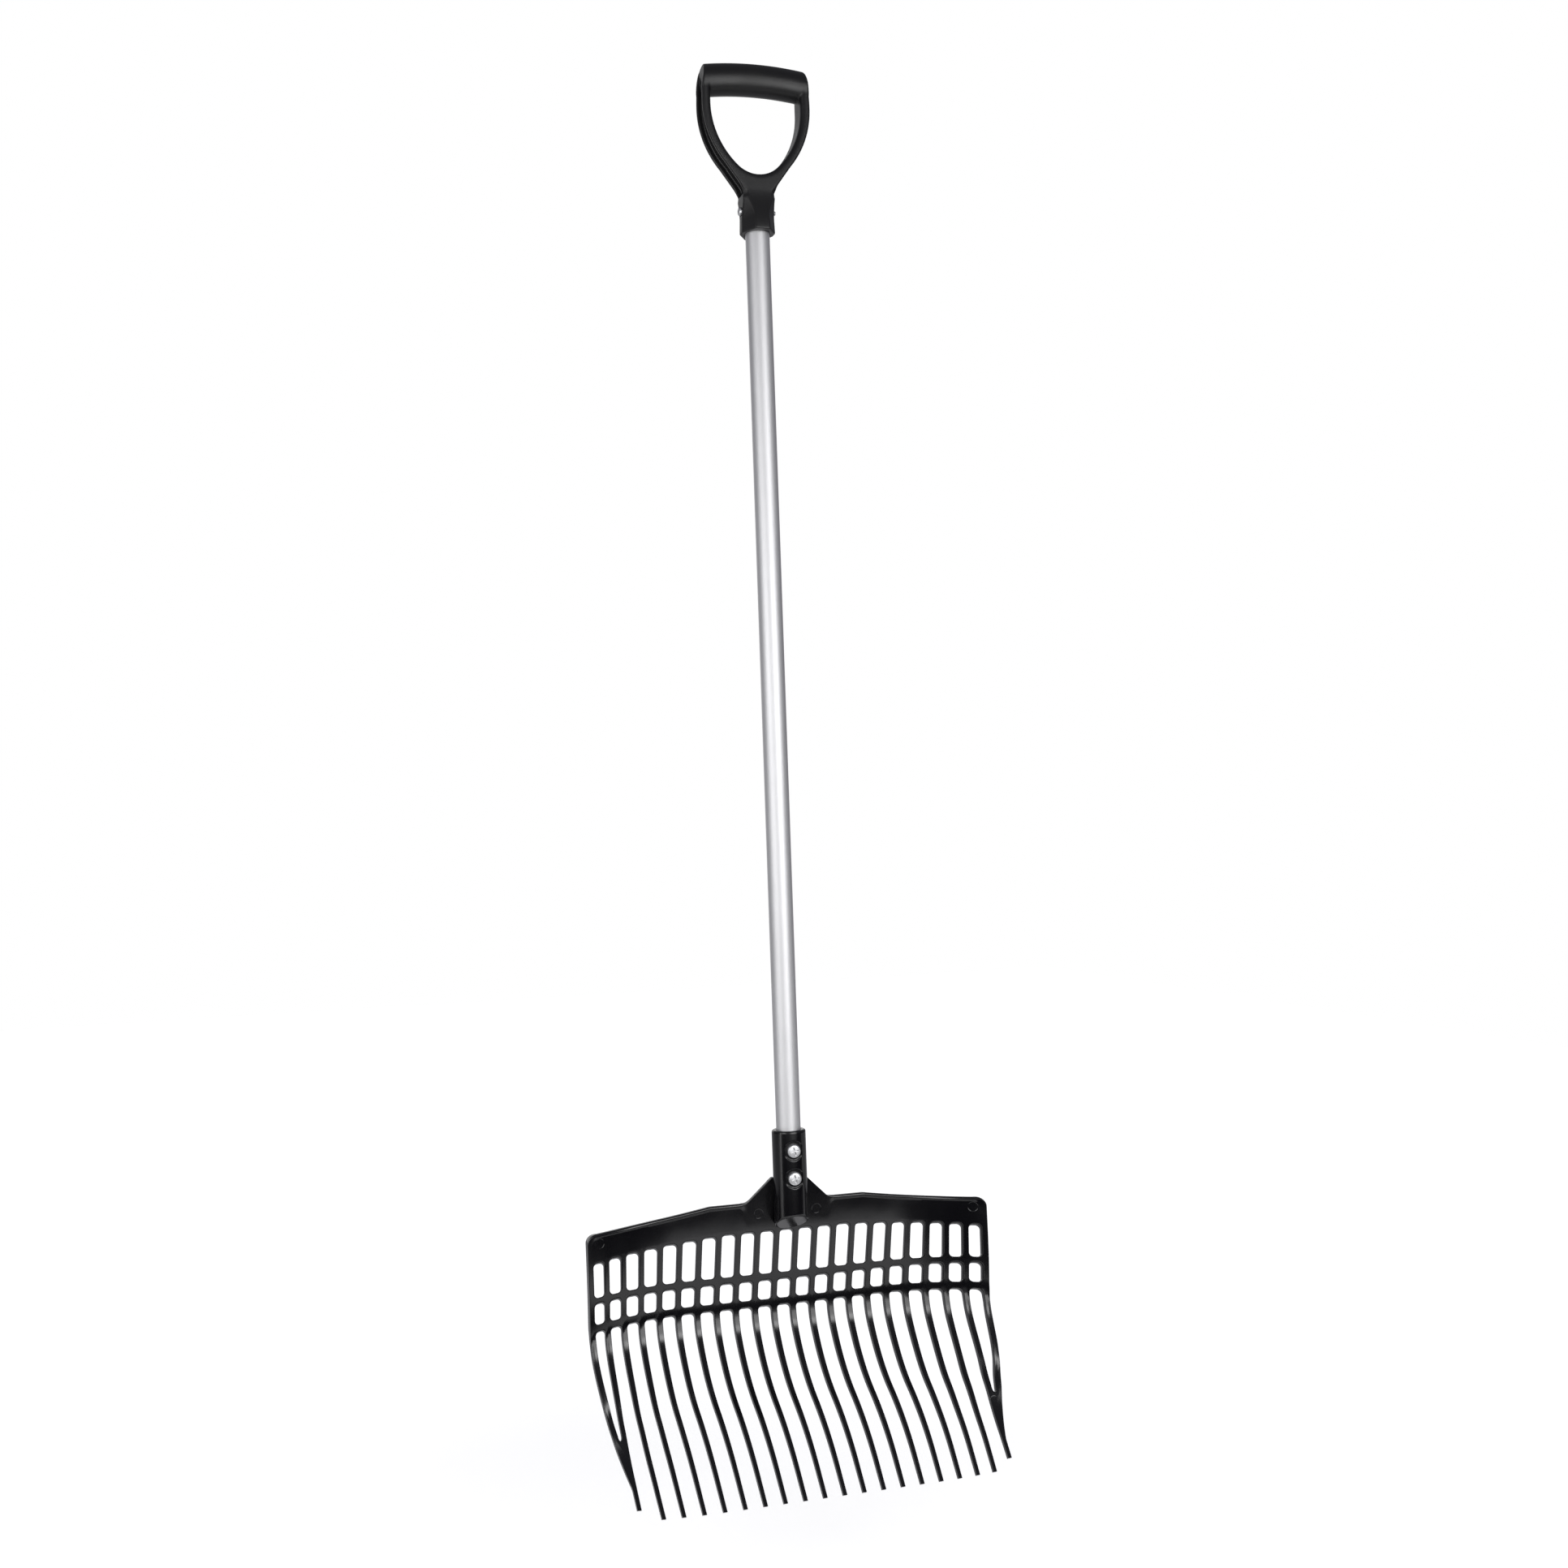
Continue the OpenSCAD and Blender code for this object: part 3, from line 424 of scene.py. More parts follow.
def gap_cell(k):
    """Skin of the gap between two tines: up the right side of the left one, over the arch and down the other."""
    hole, way, ring = arch(k)
    ends = []
    for b, s in ((k if k > 0 else k - 1, 1), (k if k < 0 else k + 1, -1)):
        z = tine_levels(b)[1:]
        ends.append((np.stack([tine_x(b, z) + s * tine_half(z), z], -1), np.tile([-float(s), 0], (len(z), 1)),
                     np.stack([tine_x(b, z), z], -1)))
    (h0, w0, r0), (h1, w1, r1) = ends
    hole = np.concatenate([h0[::-1], hole, h1])
    way = np.concatenate([w0[::-1], way, w1])
    return moulded(hole, way, np.concatenate([r0[::-1], ring, r1]), tine_round(hole[:, 1]))


outer_z = tine_levels(columns)
vee_at = int(np.searchsorted(-outer_z, -side_gap_z - side_gap_lead))
join_at = vee_at + vee_n
vee_fill = 4


def side_line_x(z):
    """Middle line of the right side bar, which runs in to the outer tine's middle line below their joint."""
    t = ease((outer_z[vee_at] - z) / (outer_z[vee_at] - outer_z[join_at]))
    return (side_outer(z) - bar_w / 2) * (1 - t) + tine_x(columns, z) * t


def side_cell():
    """Skin of the closed gap between the right outer tine and its side bar, which ends in a small round."""
    hole, way, ring = arch(columns)
    z = outer_z[1:vee_at]
    tine = tine_x(columns, z) + tine_half(z)
    inner = side_outer(z) - bar_w
    x0, x1, foot = tine[-1], inner[-1], z[-1]
    t = np.linspace(0, -np.pi, 2 * vee_n + 3)[1:-1]
    cap = np.stack([(x0 + x1) / 2 + (x1 - x0) / 2 * np.cos(t), foot + (foot - side_gap_z) * np.sin(t)], -1)
    cap_way = np.stack([np.cos(t), np.sin(t)], -1)
    low_z = outer_z[vee_at:join_at + 1]
    ones = np.tile([1.0, 0], (len(z), 1))
    hole = np.concatenate([hole, np.stack([inner, z], -1), cap, np.stack([tine, z], -1)[::-1]])
    way = np.concatenate([way, ones, cap_way, -ones])
    ring = np.concatenate([ring, np.stack([side_line_x(z), z], -1), np.stack([side_line_x(low_z), low_z], -1),
                           np.stack([tine_x(columns, low_z), low_z], -1)[::-1][1:],
                           np.stack([tine_x(columns, z), z], -1)[::-1]])
    return moulded(hole, way, ring, tine_round(hole[:, 1]), vee_fill)


# Strips between the middle line and the outer edge's round: the share of the way, the distance from the edge in radii
# of the rim's bead, and the share of the bead's height.
bead_strips = ((0.2, 4.0, 0), (0.4, 2.0, 0), (0.6, 1.7, 0), (0.8, 1.5, 0.5), (1, 1.25, 1))
rear_strips = (0, 0.33, 0.67, 1)
backward = np.array([0, 1, 0])
hair = 1e-9


def outline():
    """Skin of the head's outer edge, from the right outer tine's end up the side bar, round the corner, along the rim
    and down the left side: front face, round, edge face, round and rear face. Above the tines the edge is as deep as
    the rim, and beside the webs the rim has a round bead."""
    e = edge_x - bar_w / 2
    z = np.concatenate([outer_z[::-1], (root_z + (heel_line(e) - root_z) * root_f)[1:],
                        (heel_line(e) + (rail_line(e) - heel_line(e)) * lower_f)[1:],
                        (rail_line(e) + (band_line(e) - rail_line(e)) * upper_f)[1:]])
    inner = np.where(z < outer_z[join_at] + hair, tine_x(columns, z), side_line_x(z))
    side = np.stack([inner, z], -1)
    side_hole = np.stack([side_outer(z), z], -1)
    t = np.linspace(0, 1, side_n + 1)[1:, None]
    corner = side_hole[-1] + (np.array([edge_x, rim_at(edge_x)]) - side_hole[-1]) * t
    bend = edge_x - rim_corner_r * (1 - np.cos(np.linspace(0, np.pi / 2, bend_n + 1)[1:]))
    corner = np.concatenate([corner, np.stack([bend, rim_at(bend)], -1)])
    hub = np.broadcast_to(side[-1], corner.shape)
    x, top = [], []
    for k in range(columns, -columns - 1, -1):
        left, right = cell(k)[:2]
        x.append((left + (right - left) * across_f)[::-1][1:])
        far = [max(left, -bend[-1]), min(right, bend[-1])]
        top.append((far[0] + (far[1] - far[0]) * across_f)[::-1][1:])
    x, top = np.concatenate(x)[:-1], np.concatenate(top)[:-1]
    flip = np.array([-1.0, 1.0])
    ring = np.concatenate([side, hub, np.stack([x, band_line(x)], -1), (hub * flip)[::-1], (side * flip)[::-1]])
    hole = np.concatenate([side_hole, corner, np.stack([top, rim_at(top)], -1), (corner * flip)[::-1],
                           (side_hole * flip)[::-1]])
    way = np.gradient(hole, axis=0)[:, ::-1] * flip
    way /= np.linalg.norm(way, axis=1)[:, None]
    room = np.linalg.norm(ring - hole, axis=1)[:, None]
    out_x, out_z = np.abs(hole[:, :1]), hole[:, 1:]
    depth = depth_at(out_z)
    stiff = np.clip((out_z - root_z) / stiff_in, 0, 1)
    web = np.clip((out_x - web_half + web_lead) / web_fade, 0, 1)
    back = depth * inward * (1 - stiff) + backward * (web_t + (rim_depth - web_t) * web) * stiff
    deep = np.linalg.norm(back, axis=1)[:, None]
    back = back / deep
    bead = np.clip((out_x - web_half) / web_fade, 0, 1) * np.clip((out_z - upper_z) / bead_in, 0, 1)
    bead = bead * np.clip((edge_x - out_x) / bead_end, 0, 1)
    soft = tine_round(out_z)
    soft = soft + (bead_r - soft) * bead
    out = bead_out * bead * backward
    last = rear_round / front_round * soft * (1 - bead) + bead_fall * bead
    long = last * (1 - bead) + (deep - soft) * bead
    foot = rear_run * last * (1 - stiff) + np.minimum(rim_h, rim_room * room) * stiff
    near = hole + near_run * soft * way
    rear = hole + foot * way
    high = crown(ring[:, 1:])
    rings = [face(ring, ring) - high * inward]
    for s, o, f in bead_strips:
        p = (ring + (near - ring) * s) * (1 - bead) + (hole + o * soft * way) * bead
        rings.append(face(p, ring) - high * (1 - s) ** 2 * inward - f * out)
    rings += [face(hole + soft * (1 - math.sin(a)) * way, ring) + soft * (1 - math.cos(a)) * back - out for a in arc]
    rings += [face(hole + last * (1 - math.cos(a)) * way, ring) + (deep - long * (1 - math.sin(a))) * back
              - out * (1 - math.sin(a)) for a in arc_back]
    rings += [face(rear + (ring - rear) * s, ring) + depth * inward for s in rear_strips]
    return np.stack(rings)


span = range(-columns, columns + 1)
rows = [slot_cell(k, upper_top, upper_foot, band_line, rail_line, upper_n, upper_f) for k in span]
rows += [slot_cell(k, lower_top, lower_foot, rail_line, heel_line, lower_n, lower_f) for k in span]
vee = side_cell()
rows += [vee, vee * [-1.0, 1.0, 1.0]]
closed_count = len(rows)
gaps = [gap_cell(k) for k in range(1 - columns, columns)]
rim = outline()
rows += gaps + [rim]
points, faces = [], []
start = 0
for i, grid in enumerate(rows):
    faces += grid_faces(grid.shape[0], grid.shape[1], start, i < closed_count).tolist()
    points.append(grid.reshape(-1, 3))
    start += grid.shape[0] * grid.shape[1]
# The flat end of each tine lies between the last sections of the skins on its two sides.
sections = [rim[:, -1]] + [g[:, i] for g in gaps for i in (0, -1)] + [rim[:, 0]]
for left, right in zip(sections[0::2], sections[1::2]):
    faces.append(list(range(start, start + len(left) + len(right))))
    points += [left, right[::-1]]
    start += len(left) + len(right)
points = np.concatenate(points)


def moulding_marks():
    """Node group of the marks that a mould and handling leave: a slow unevenness, a fine grain and pale dust."""
    group = bpy.data.node_groups.new("moulding_marks", "ShaderNodeTree")
    group.interface.new_socket("Grain Scale", in_out="INPUT", socket_type="NodeSocketFloat")
    for name in ("Wave", "Grain", "Dust"):
        group.interface.new_socket(name, in_out="OUTPUT", socket_type="NodeSocketFloat")
    take, give = group.nodes.new("NodeGroupInput"), group.nodes.new("NodeGroupOutput")
    place = add(group, "TexCoord")
    wave = add(group, "TexNoise", {"Scale": 28.0, "Detail": 1.5})
    grain = add(group, "TexNoise", {"Detail": 3.0})
    specks = add(group, "TexVoronoi", {"Scale": 260.0})
    near = add(group, "MapRange", {"From Min": 0.05, "From Max": 0.12, "To Min": 1.0, "To Max": 0.0})
    patch = add(group, "TexNoise", {"Scale": 60.0})
    few = add(group, "MapRange", {"From Min": 0.55, "From Max": 0.75})
    dust = add(group, "Math", operation="MULTIPLY")
    wire(group, *[(place, "Object", pattern, "Vector") for pattern in (wave, grain, specks, patch)])
    wire(group, (take, "Grain Scale", grain, "Scale"), (specks, "Distance", near, "Value"),
         (patch, "Fac", few, "Value"), (near, "Result", dust, 0), (few, "Result", dust, 1),
         (wave, "Fac", give, "Wave"), (grain, "Fac", give, "Grain"), (dust, "Value", give, "Dust"))
    return group


marks_group = moulding_marks()


def black_plastic(name, dark, pale, grain_scale, rough_low, rough_high, wave_height, grain_height):
    """Black moulded plastic: dust lightens its colour, the unevenness varies its gloss, and it and a fine grain bump
    its face.
    """
    material, tree, shader = new_material(name)
    marks = add(tree, "Group", node_tree=marks_group)
    marks.inputs["Grain Scale"].default_value = grain_scale
    tone = add(tree, "Mix", {"A": (*dark, 1), "B": (*pale, 1)}, data_type="RGBA")
    gloss = add(tree, "MapRange", {"From Min": 0.3, "From Max": 0.7, "To Min": rough_low, "To Max": rough_high})
    slow = add(tree, "Bump", {"Strength": 1.0, "Distance": wave_height})
    fine = add(tree, "Bump", {"Strength": 1.0, "Distance": grain_height})
    wire(tree, (marks, "Dust", tone, "Factor"), (marks, "Wave", gloss, "Value"), (marks, "Wave", slow, "Height"),
         (marks, "Grain", fine, "Height"), (slow, "Normal", fine, "Normal"), (tone, "Result", shader, "Base Color"),
         (gloss, "Result", shader, "Roughness"), (fine, "Normal", shader, "Normal"))
    return material, tree, shader, fine


pin_places = [(-0.0272, -0.0755), (0.0272, -0.0755), (-0.1748, -0.0855), (0.1748, -0.0855), (0.1690, -0.2495)]
pin_r, pin_soft, pin_deep = 0.0043, 0.0002, 0.00015


def pin_marks():
    """Node group of the round marks that the mould's pins leave: 1 inside any of the circles, seen along Y."""
    group = bpy.data.node_groups.new("pin_marks", "ShaderNodeTree")
    group.interface.new_socket("Inside", in_out="OUTPUT", socket_type="NodeSocketFloat")
    give = group.nodes.new("NodeGroupOutput")
    place = add(group, "TexCoord")
    level = add(group, "VectorMath", {1: (1, 0, 1)}, operation="MULTIPLY")
    wire(group, (place, "Object", level, 0))
    inside, socket = None, ""
    for x, z in pin_places:
        far = add(group, "VectorMath", {1: (x, 0, z)}, operation="DISTANCE")
        near = add(group, "MapRange", {"From Min": pin_r - pin_soft, "From Max": pin_r + pin_soft,
                                       "To Min": 1.0, "To Max": 0.0})
        wire(group, (level, "Vector", far, 0), (far, "Value", near, "Value"))
        joined, joined_socket = near, "Result"
        if inside:
            joined, joined_socket = add(group, "Math", operation="MAXIMUM"), "Value"
            wire(group, (inside, socket, joined, 0), (near, "Result", joined, 1))
        inside, socket = joined, joined_socket
    wire(group, (inside, socket, give, "Inside"))
    return group


gloss_black, tree, shader, fine = black_plastic(
    "gloss_black_plastic", dark=(0.0026, 0.0025, 0.0034), pale=(0.05, 0.05, 0.05), grain_scale=2600.0,
    rough_low=0.15, rough_high=0.23, wave_height=0.0003, grain_height=0.00001)
pins = add(tree, "Group", node_tree=pin_marks())
dent = add(tree, "Bump", {"Strength": 1.0, "Distance": pin_deep}, invert=True)
wire(tree, (pins, "Inside", dent, "Height"), (fine, "Normal", dent, "Normal"), (dent, "Normal", shader, "Normal"))
put_in("fork_plate_and_tines", points, faces, gloss_black,
       ["side_bar_left", "side_bar_right"] + ["tine_%02d" % n for n in range(1, 2 * columns + 1)])


# The head's socket belongs to the same black moulding and takes the tube's lower end. Its mouth is rounded, its lower
# end is cut off at a slant, and two flat seats are sunk into its front for the bolt heads and into its back for the
# nuts.
socket_front_l, socket_cut, socket_low = 0.075, math.radians(29), -0.0925
bore_r, bore_low, bore_round = 0.01115, -0.066, 0.0008
seat_y, seat_r, seat_round, boss_r, boss_round = 0.01325, 0.0086, 0.0008, 0.0081, 0.0003
mouth_round, cut_round = 0.0022, 0.0016
socket_step = 0.0005
bolt_levels = (-0.0175, -0.042)


def both(a, b, k):
    """Inside both of two solids, with a round of about k along their common edge."""
    h = np.clip(k - np.abs(a - b), 0, None) / k
    return np.maximum(a, b) + h * h * k / 4


def either(a, b, k):
    """Inside either of two solids, with a fillet of about k where they meet."""
    return -both(-a, -b, k)


def skin(field, low, high, step, passes=4, probe_share=0.1, most_share=0.6, least_slope=0.05):
    """Closed skin where a field of space is zero, as points and quads: one point in every box of a fine grid that the
    skin runs through, moved onto it along the field's slope, and one quad over every grid edge that it cuts."""
    axes = [np.arange(a - 2 * step, b + 2 * step, step) for a, b in zip(low, high)]
    value = field(*np.meshgrid(*axes, indexing="ij"))
    solid = value < 0
    shape = np.array(value.shape) - 1
    count = np.zeros(shape, int)
    shifts = [(a, b, c) for a in (0, 1) for b in (0, 1) for c in (0, 1)]
    for a, b, c in shifts:
        count += solid[a:shape[0] + a, b:shape[1] + b, c:shape[2] + c]
    i, j, k = np.nonzero((count > 0) & (count < len(shifts)))
    number = np.full(shape, -1)
    number[i, j, k] = np.arange(len(i))
    p = np.stack([axes[0][i], axes[1][j], axes[2][k]], -1) + step / 2
    probe, most = probe_share * step, most_share * step
    for _ in range(passes):
        slope = np.stack([(field(*(p + d).T) - field(*(p - d).T)) / (2 * probe) for d in np.eye(3) * probe], -1)
        move = field(*p.T)[:, None] * slope / np.maximum((slope ** 2).sum(1), least_slope)[:, None]
        p = p - np.clip(move, -most, most)
    faces = []
    for axis in range(3):
        one, two = [d for d in range(3) if d != axis]
        ahead = np.roll(solid, -1, axis)
        cut = solid != ahead
        cut[tuple(slice(-1, None) if d == axis else slice(None) for d in range(3))] = False
        at = np.stack(np.nonzero(cut), -1)
        quad = []
        for u, v in ((-1, -1), (0, -1), (0, 0), (-1, 0)):
            box_at = at.copy()
            box_at[:, one] += u
            box_at[:, two] += v
            quad.append(number[tuple(box_at.T)])
        faces.append(np.stack(quad, -1))
    return p, np.concatenate(faces)


def socket_field(x, y, z):
    """Round body with a rounded mouth and a slanted lower end, with round bosses that end in the flat seats, less the
    room in front of the seats and the bore."""
    r = np.hypot(x, y)
    lower = (-socket_front_l - (y + socket_r) * math.tan(socket_cut) - z) * math.cos(socket_cut)
    f = both(both(r - socket_r, z, mouth_round), lower, cut_round)
    for level in bolt_levels:
        ring = np.hypot(x, z - level)
        f = either(f, both(ring - boss_r, np.abs(y) - seat_y, boss_round), boss_round)
        f = both(f, -np.maximum(ring - seat_r, seat_y - np.abs(y)), seat_round)
    return both(f, -np.maximum(r - bore_r, bore_low - z), bore_round)


points, faces = skin(socket_field, (-socket_r, -socket_r, socket_low), (socket_r, socket_r, 0), socket_step)
put_in("fork_socket", points, faces, gloss_black, ["fork_head"], crease=60)


# Two zinc-plated steel bolts hold the tube in the socket. Each has a pan head with a cross recess in front and a
# hexagon nut behind, with a little thread standing out of it.
head_r, head_h, head_step = 0.006, 0.004, 0.00018
bolt_r, thread_out, thread_low, thread_root = 0.003, 0.0015, 0.002, 0.0002
nut_r, nut_h, nut_reach, nut_step = 0.005, 0.005, 0.006, 0.00025
nut_corner, nut_slope, nut_flat_r, nut_round = 0.0003, 1.2, 0.0052, 0.0002
thread_high, end_step = nut_h + thread_out, 0.0002
bolt_thread = {"inset": 0.00015, "wave": 0.00012, "turns": 1000, "soft": 0.0006}
zinc_dark, zinc_light = (0.62, 0.63, 0.64, 1), (0.74, 0.74, 0.75, 1)
dome_share, shoulder_share, crisp_share = 0.14, 0.3, 0.05
recess_turn, recess_norm, recess_deep, recess_reach, recess_half = 0.25, 1.03, 0.45, 0.56, 0.09


def pan_field(x, y, h, r, tall):
    """Pan head that stands on h = 0: a straight side, a low dome with a round shoulder and a narrow cross recess, all
    in shares of its radius and height."""
    dome = dome_share * tall
    ball = (r * r + dome * dome) / (2 * dome)
    f = both(np.hypot(x, y) - r, np.sqrt(x * x + y * y + (h - tall + ball) ** 2) - ball, shoulder_share * r)
    f = both(f, -h, crisp_share * r)
    u, v = (x + y * recess_turn) / recess_norm, (y - x * recess_turn) / recess_norm
    arm = np.minimum(np.maximum(np.abs(u) - recess_reach * r, np.abs(v) - recess_half * r),
                     np.maximum(np.abs(v) - recess_reach * r, np.abs(u) - recess_half * r))
    return both(f, -np.maximum(arm, tall - recess_deep * tall - h), crisp_share * r)


def pan_head(r, tall, step):
    """Skin of a pan head."""
    return skin(lambda x, y, h: pan_field(x, y, h, r, tall), (-r, -r, 0), (r, r, tall), step)


def nut_field(x, y, h):
    """Hexagon nut on h = 0 with chamfered corners."""
    six = np.max([np.abs(x * math.cos(a) + y * math.sin(a)) - nut_r for a in np.radians([30, 90, 150])], axis=0)
    r = np.hypot(x, y)
    cone = np.maximum(r - nut_r - nut_corner + (h - nut_h) * nut_slope,
                      r - nut_r - nut_corner - h * nut_slope - nut_corner)
    slab = np.abs(h - nut_h / 2) - nut_h / 2
    return both(both(six, slab, nut_round), np.minimum(cone, r - nut_flat_r), nut_round)


def thread_field(x, y, h, r, low, high, inset, wave, turns, soft):
    """Threaded rod from h = low to high: its radius less an inset swells in a wave that climbs with so many turns to
    the metre, and its end has a round of about soft."""
    climb = wave * np.cos((h * turns - np.arctan2(y, x) / (2 * np.pi)) * 2 * np.pi)
    return both(both(np.hypot(x, y) - r + inset + climb, h - high, soft), low - h, thread_root)


def thread_end(r, low, high, step, thread):
    """Skin of a threaded rod."""
    return skin(lambda x, y, h: thread_field(x, y, h, r, low, high, **thread), (-r, -r, low), (r, r, high), step)


zinc, tree, shader = new_material("zinc_plate")
shader.inputs["Metallic"].default_value = 1.0
place = add(tree, "TexCoord")
cloud = add(tree, "TexNoise", {"Scale": 450.0, "Detail": 3.0})
tone = add(tree, "ValToRGB")
tone.color_ramp.elements[0].color = zinc_dark
tone.color_ramp.elements[1].color = zinc_light
rough = add(tree, "MapRange", {"To Min": 0.40, "To Max": 0.50})
wire(tree, (place, "Object", cloud, "Vector"), (cloud, "Fac", tone, "Fac"), (cloud, "Fac", rough, "Value"),
     (tone, "Color", shader, "Base Color"), (rough, "Result", shader, "Roughness"))

head_points, head_faces = pan_head(head_r, head_h, head_step)
nut_points, nut_faces = skin(nut_field, (-nut_reach, -nut_reach, 0), (nut_reach, nut_reach, nut_h), nut_step)
end_points, end_faces = thread_end(bolt_r, thread_low, thread_high, end_step, bolt_thread)
for name, level in zip(("upper", "lower"), bolt_levels):
    at_front = head_points[:, [0, 2, 1]] * [1, -1, 1] + [0, -seat_y, level]
    put_in("head_bolt_%s_head" % name, at_front, head_faces, zinc, ["head_bolt_" + name])
    at_back = end_points[:, [0, 2, 1]] + [0, seat_y, level]
    put_in("head_bolt_%s_end" % name, at_back, end_faces, zinc, ["head_bolt_" + name])
    at_back = nut_points[:, [0, 2, 1]] + [0, seat_y, level]
    put_in("head_nut_%s_body" % name, at_back, nut_faces, zinc, ["head_nut_" + name])


# The D-grip is one satin black moulding: an eight-sided collar on the tube, a flat yoke, two arms with a groove along
# their outer sides, and an arched round bar for the hand. It is pushed over the tube's upper end.
grip_z, grip_h, grip_half, grip_deep, grip_step = 0.806, 0.154, 0.0502, 0.0195, 0.0008
wide_z = 0.114
bar_r, arch_r, bar_low = 0.01425, 0.310, 0.09
bar_z = grip_h - bar_r
arm_t, arm_half, arm_upper_r, arm_low = 0.0082, 0.013, 0.200, 0.026
palm_r, palm_z = 0.027, 0.0792
hand_half = grip_half - arm_t
hand_r = (hand_half ** 2 + (wide_z - palm_z) ** 2 - palm_r ** 2) / (2 * (hand_half - palm_r))
arm_lower_r = hand_r + arm_t
yoke_z = palm_z - palm_r * math.cos(math.pi / 4)
yoke_x = grip_half - arm_lower_r + math.sqrt(arm_lower_r ** 2 - (wide_z - yoke_z) ** 2)
groove_half, groove_deep = 0.0085, 0.005
groove_low, groove_in, groove_top, groove_out = 0.030, 0.014, 0.006, 0.022
collar_h, collar_half, collar_taper, collar_top = 0.033, 0.016, 0.0012, 0.036
collar_deep, thin_h, narrow_z, narrow_rate = 0.0065, 0.038, 0.030, 0.5
flat_x, flat_y, shut_x, shut_y, shut_z, shut_h = 0.0064, 0.004, 0.0076, 0.0052, 0.012, 0.030
neck_x = 0.0148
neck_flat = (neck_x + flat_x) / 2
grip_bore_h, screw_z, screw_seat_r = 0.042, 0.020, 0.004
collar_round, collar_fillet, grip_round, flat_round = 0.004, 0.008, 0.0012, 0.001
hand_round, hand_edge, bar_end_round, screw_seat_round = 0.006, 0.0006, 0.0014, 0.0006


def grip_field(x, y, h):
    """The whole grip above its mouth at h = 0. One sheet has the collar, yoke and arms as its outline and the hand's
    opening as its hole; it gets thinner upward and its broad corner flats close up from the collar to the arms. The
    bar is an arched round rod, and the grooves, the bore and the screw's seat are cut from the whole."""
    s, d = np.abs(x), np.abs(y)
    radius = np.where(h < wide_z, arm_lower_r, arm_upper_r)
    outer = np.hypot(s - grip_half + radius, h - wide_z) - radius
    lean = (yoke_x - neck_flat) / (yoke_z - collar_h)
    flank_x = neck_flat + (h - collar_h) * lean
    arm = np.where(h > yoke_z, outer, (s - flank_x) / math.hypot(1, lean))
    wide = collar_half - collar_taper * np.clip(h / collar_h, 0, 1)
    sheet = either(np.maximum(arm, arm_low - h), both(s - wide, h - collar_top, collar_round), collar_fillet)
    cx = hand_half - hand_r
    below = -cx * (h - wide_z) - (palm_z - wide_z) * (s - cx) < 0
    hand = np.where(h > wide_z, s - hand_half, np.hypot(s - cx, h - wide_z) - hand_r)
    hand = np.where(below & (h < wide_z), np.hypot(x, h - palm_z) - palm_r, hand)
    deep = arm_half + collar_deep * (1 - ease(h / thin_h))
    arc_x = grip_half - radius + np.sqrt(np.clip(radius ** 2 - (h - wide_z) ** 2, 0, None))
    half = both(wide - narrow_rate * np.clip(h - narrow_z, 0, None), np.where(h > yoke_z, arc_x, flank_x),
                collar_round)
    shut = ease((h - shut_z) / shut_h)
    face_x = flat_x + (half - shut_x) * shut
    face_y = flat_y + (deep - shut_y) * shut
    flat = ((s - face_x) * (deep - face_y) + (d - deep) * (half - face_x)) / np.hypot(deep - face_y, half - face_x)
    body = both(both(both(sheet, -h, grip_round), d - deep, grip_round), flat, flat_round)
    body = both(body, both(-hand, d - deep, hand_round), hand_edge)
    rod = np.hypot(x, h - bar_z + arch_r) - arch_r
    bar = both(np.hypot(rod, y) - bar_r, np.maximum(outer, bar_low - h), bar_end_round)
    f = either(both(body, rod, flat_round), bar, grip_round)
    cut = groove_deep * ease((h - groove_low) / groove_in) * ease((grip_h - groove_top - h) / groove_out)
    under = -np.maximum(sheet, np.where(h > yoke_z, outer, -1.0))
    f = both(f, -both(d - groove_half, under - cut, grip_round), grip_round)
    f = both(f, -np.maximum(np.hypot(x, y) - bore_r, h - grip_bore_h), bore_round)
    return both(f, -np.maximum(np.hypot(y, h - screw_z) - screw_seat_r, neck_x + x), screw_seat_round)


satin_black = black_plastic(
    "satin_black_plastic", dark=(0.0045, 0.0044, 0.0048), pale=(0.008, 0.008, 0.008), grain_scale=1500.0,
    rough_low=0.38, rough_high=0.46, wave_height=0.0003, grain_height=0.00006)[0]
points, faces = skin(grip_field, (-grip_half, -grip_deep, 0), (grip_half, grip_deep, grip_h), grip_step)
put_in("grip_body", points + [0, 0, grip_z], faces, satin_black, ["d_grip"], crease=85)


# One zinc-plated steel screw holds the grip on the tube. It goes in from the left, through the collar and both walls
# of the tube, and its threaded tip shows on the right.
screw_r, screw_h, screw_step = 0.0038, 0.0026, 0.00012
screw_stem, tip_low, tip_high, tip_step = 0.002, 0.013, 0.0175, 0.00018
screw_thread = {"inset": 0.00012, "wave": 0.0001, "turns": 1400, "soft": 0.0008}
points, faces = pan_head(screw_r, screw_h, screw_step)
put_in("grip_screw_head", points[:, [2, 1, 0]] * [-1, 1, 1] + [-neck_x, 0, grip_z + screw_z], faces, zinc,
       ["grip_screw"])
points, faces = thread_end(screw_stem, tip_low, tip_high, tip_step, screw_thread)
put_in("grip_screw_tip", points[:, [2, 1, 0]] + [0, 0, grip_z + screw_z], faces, zinc,
       ["grip_screw"])


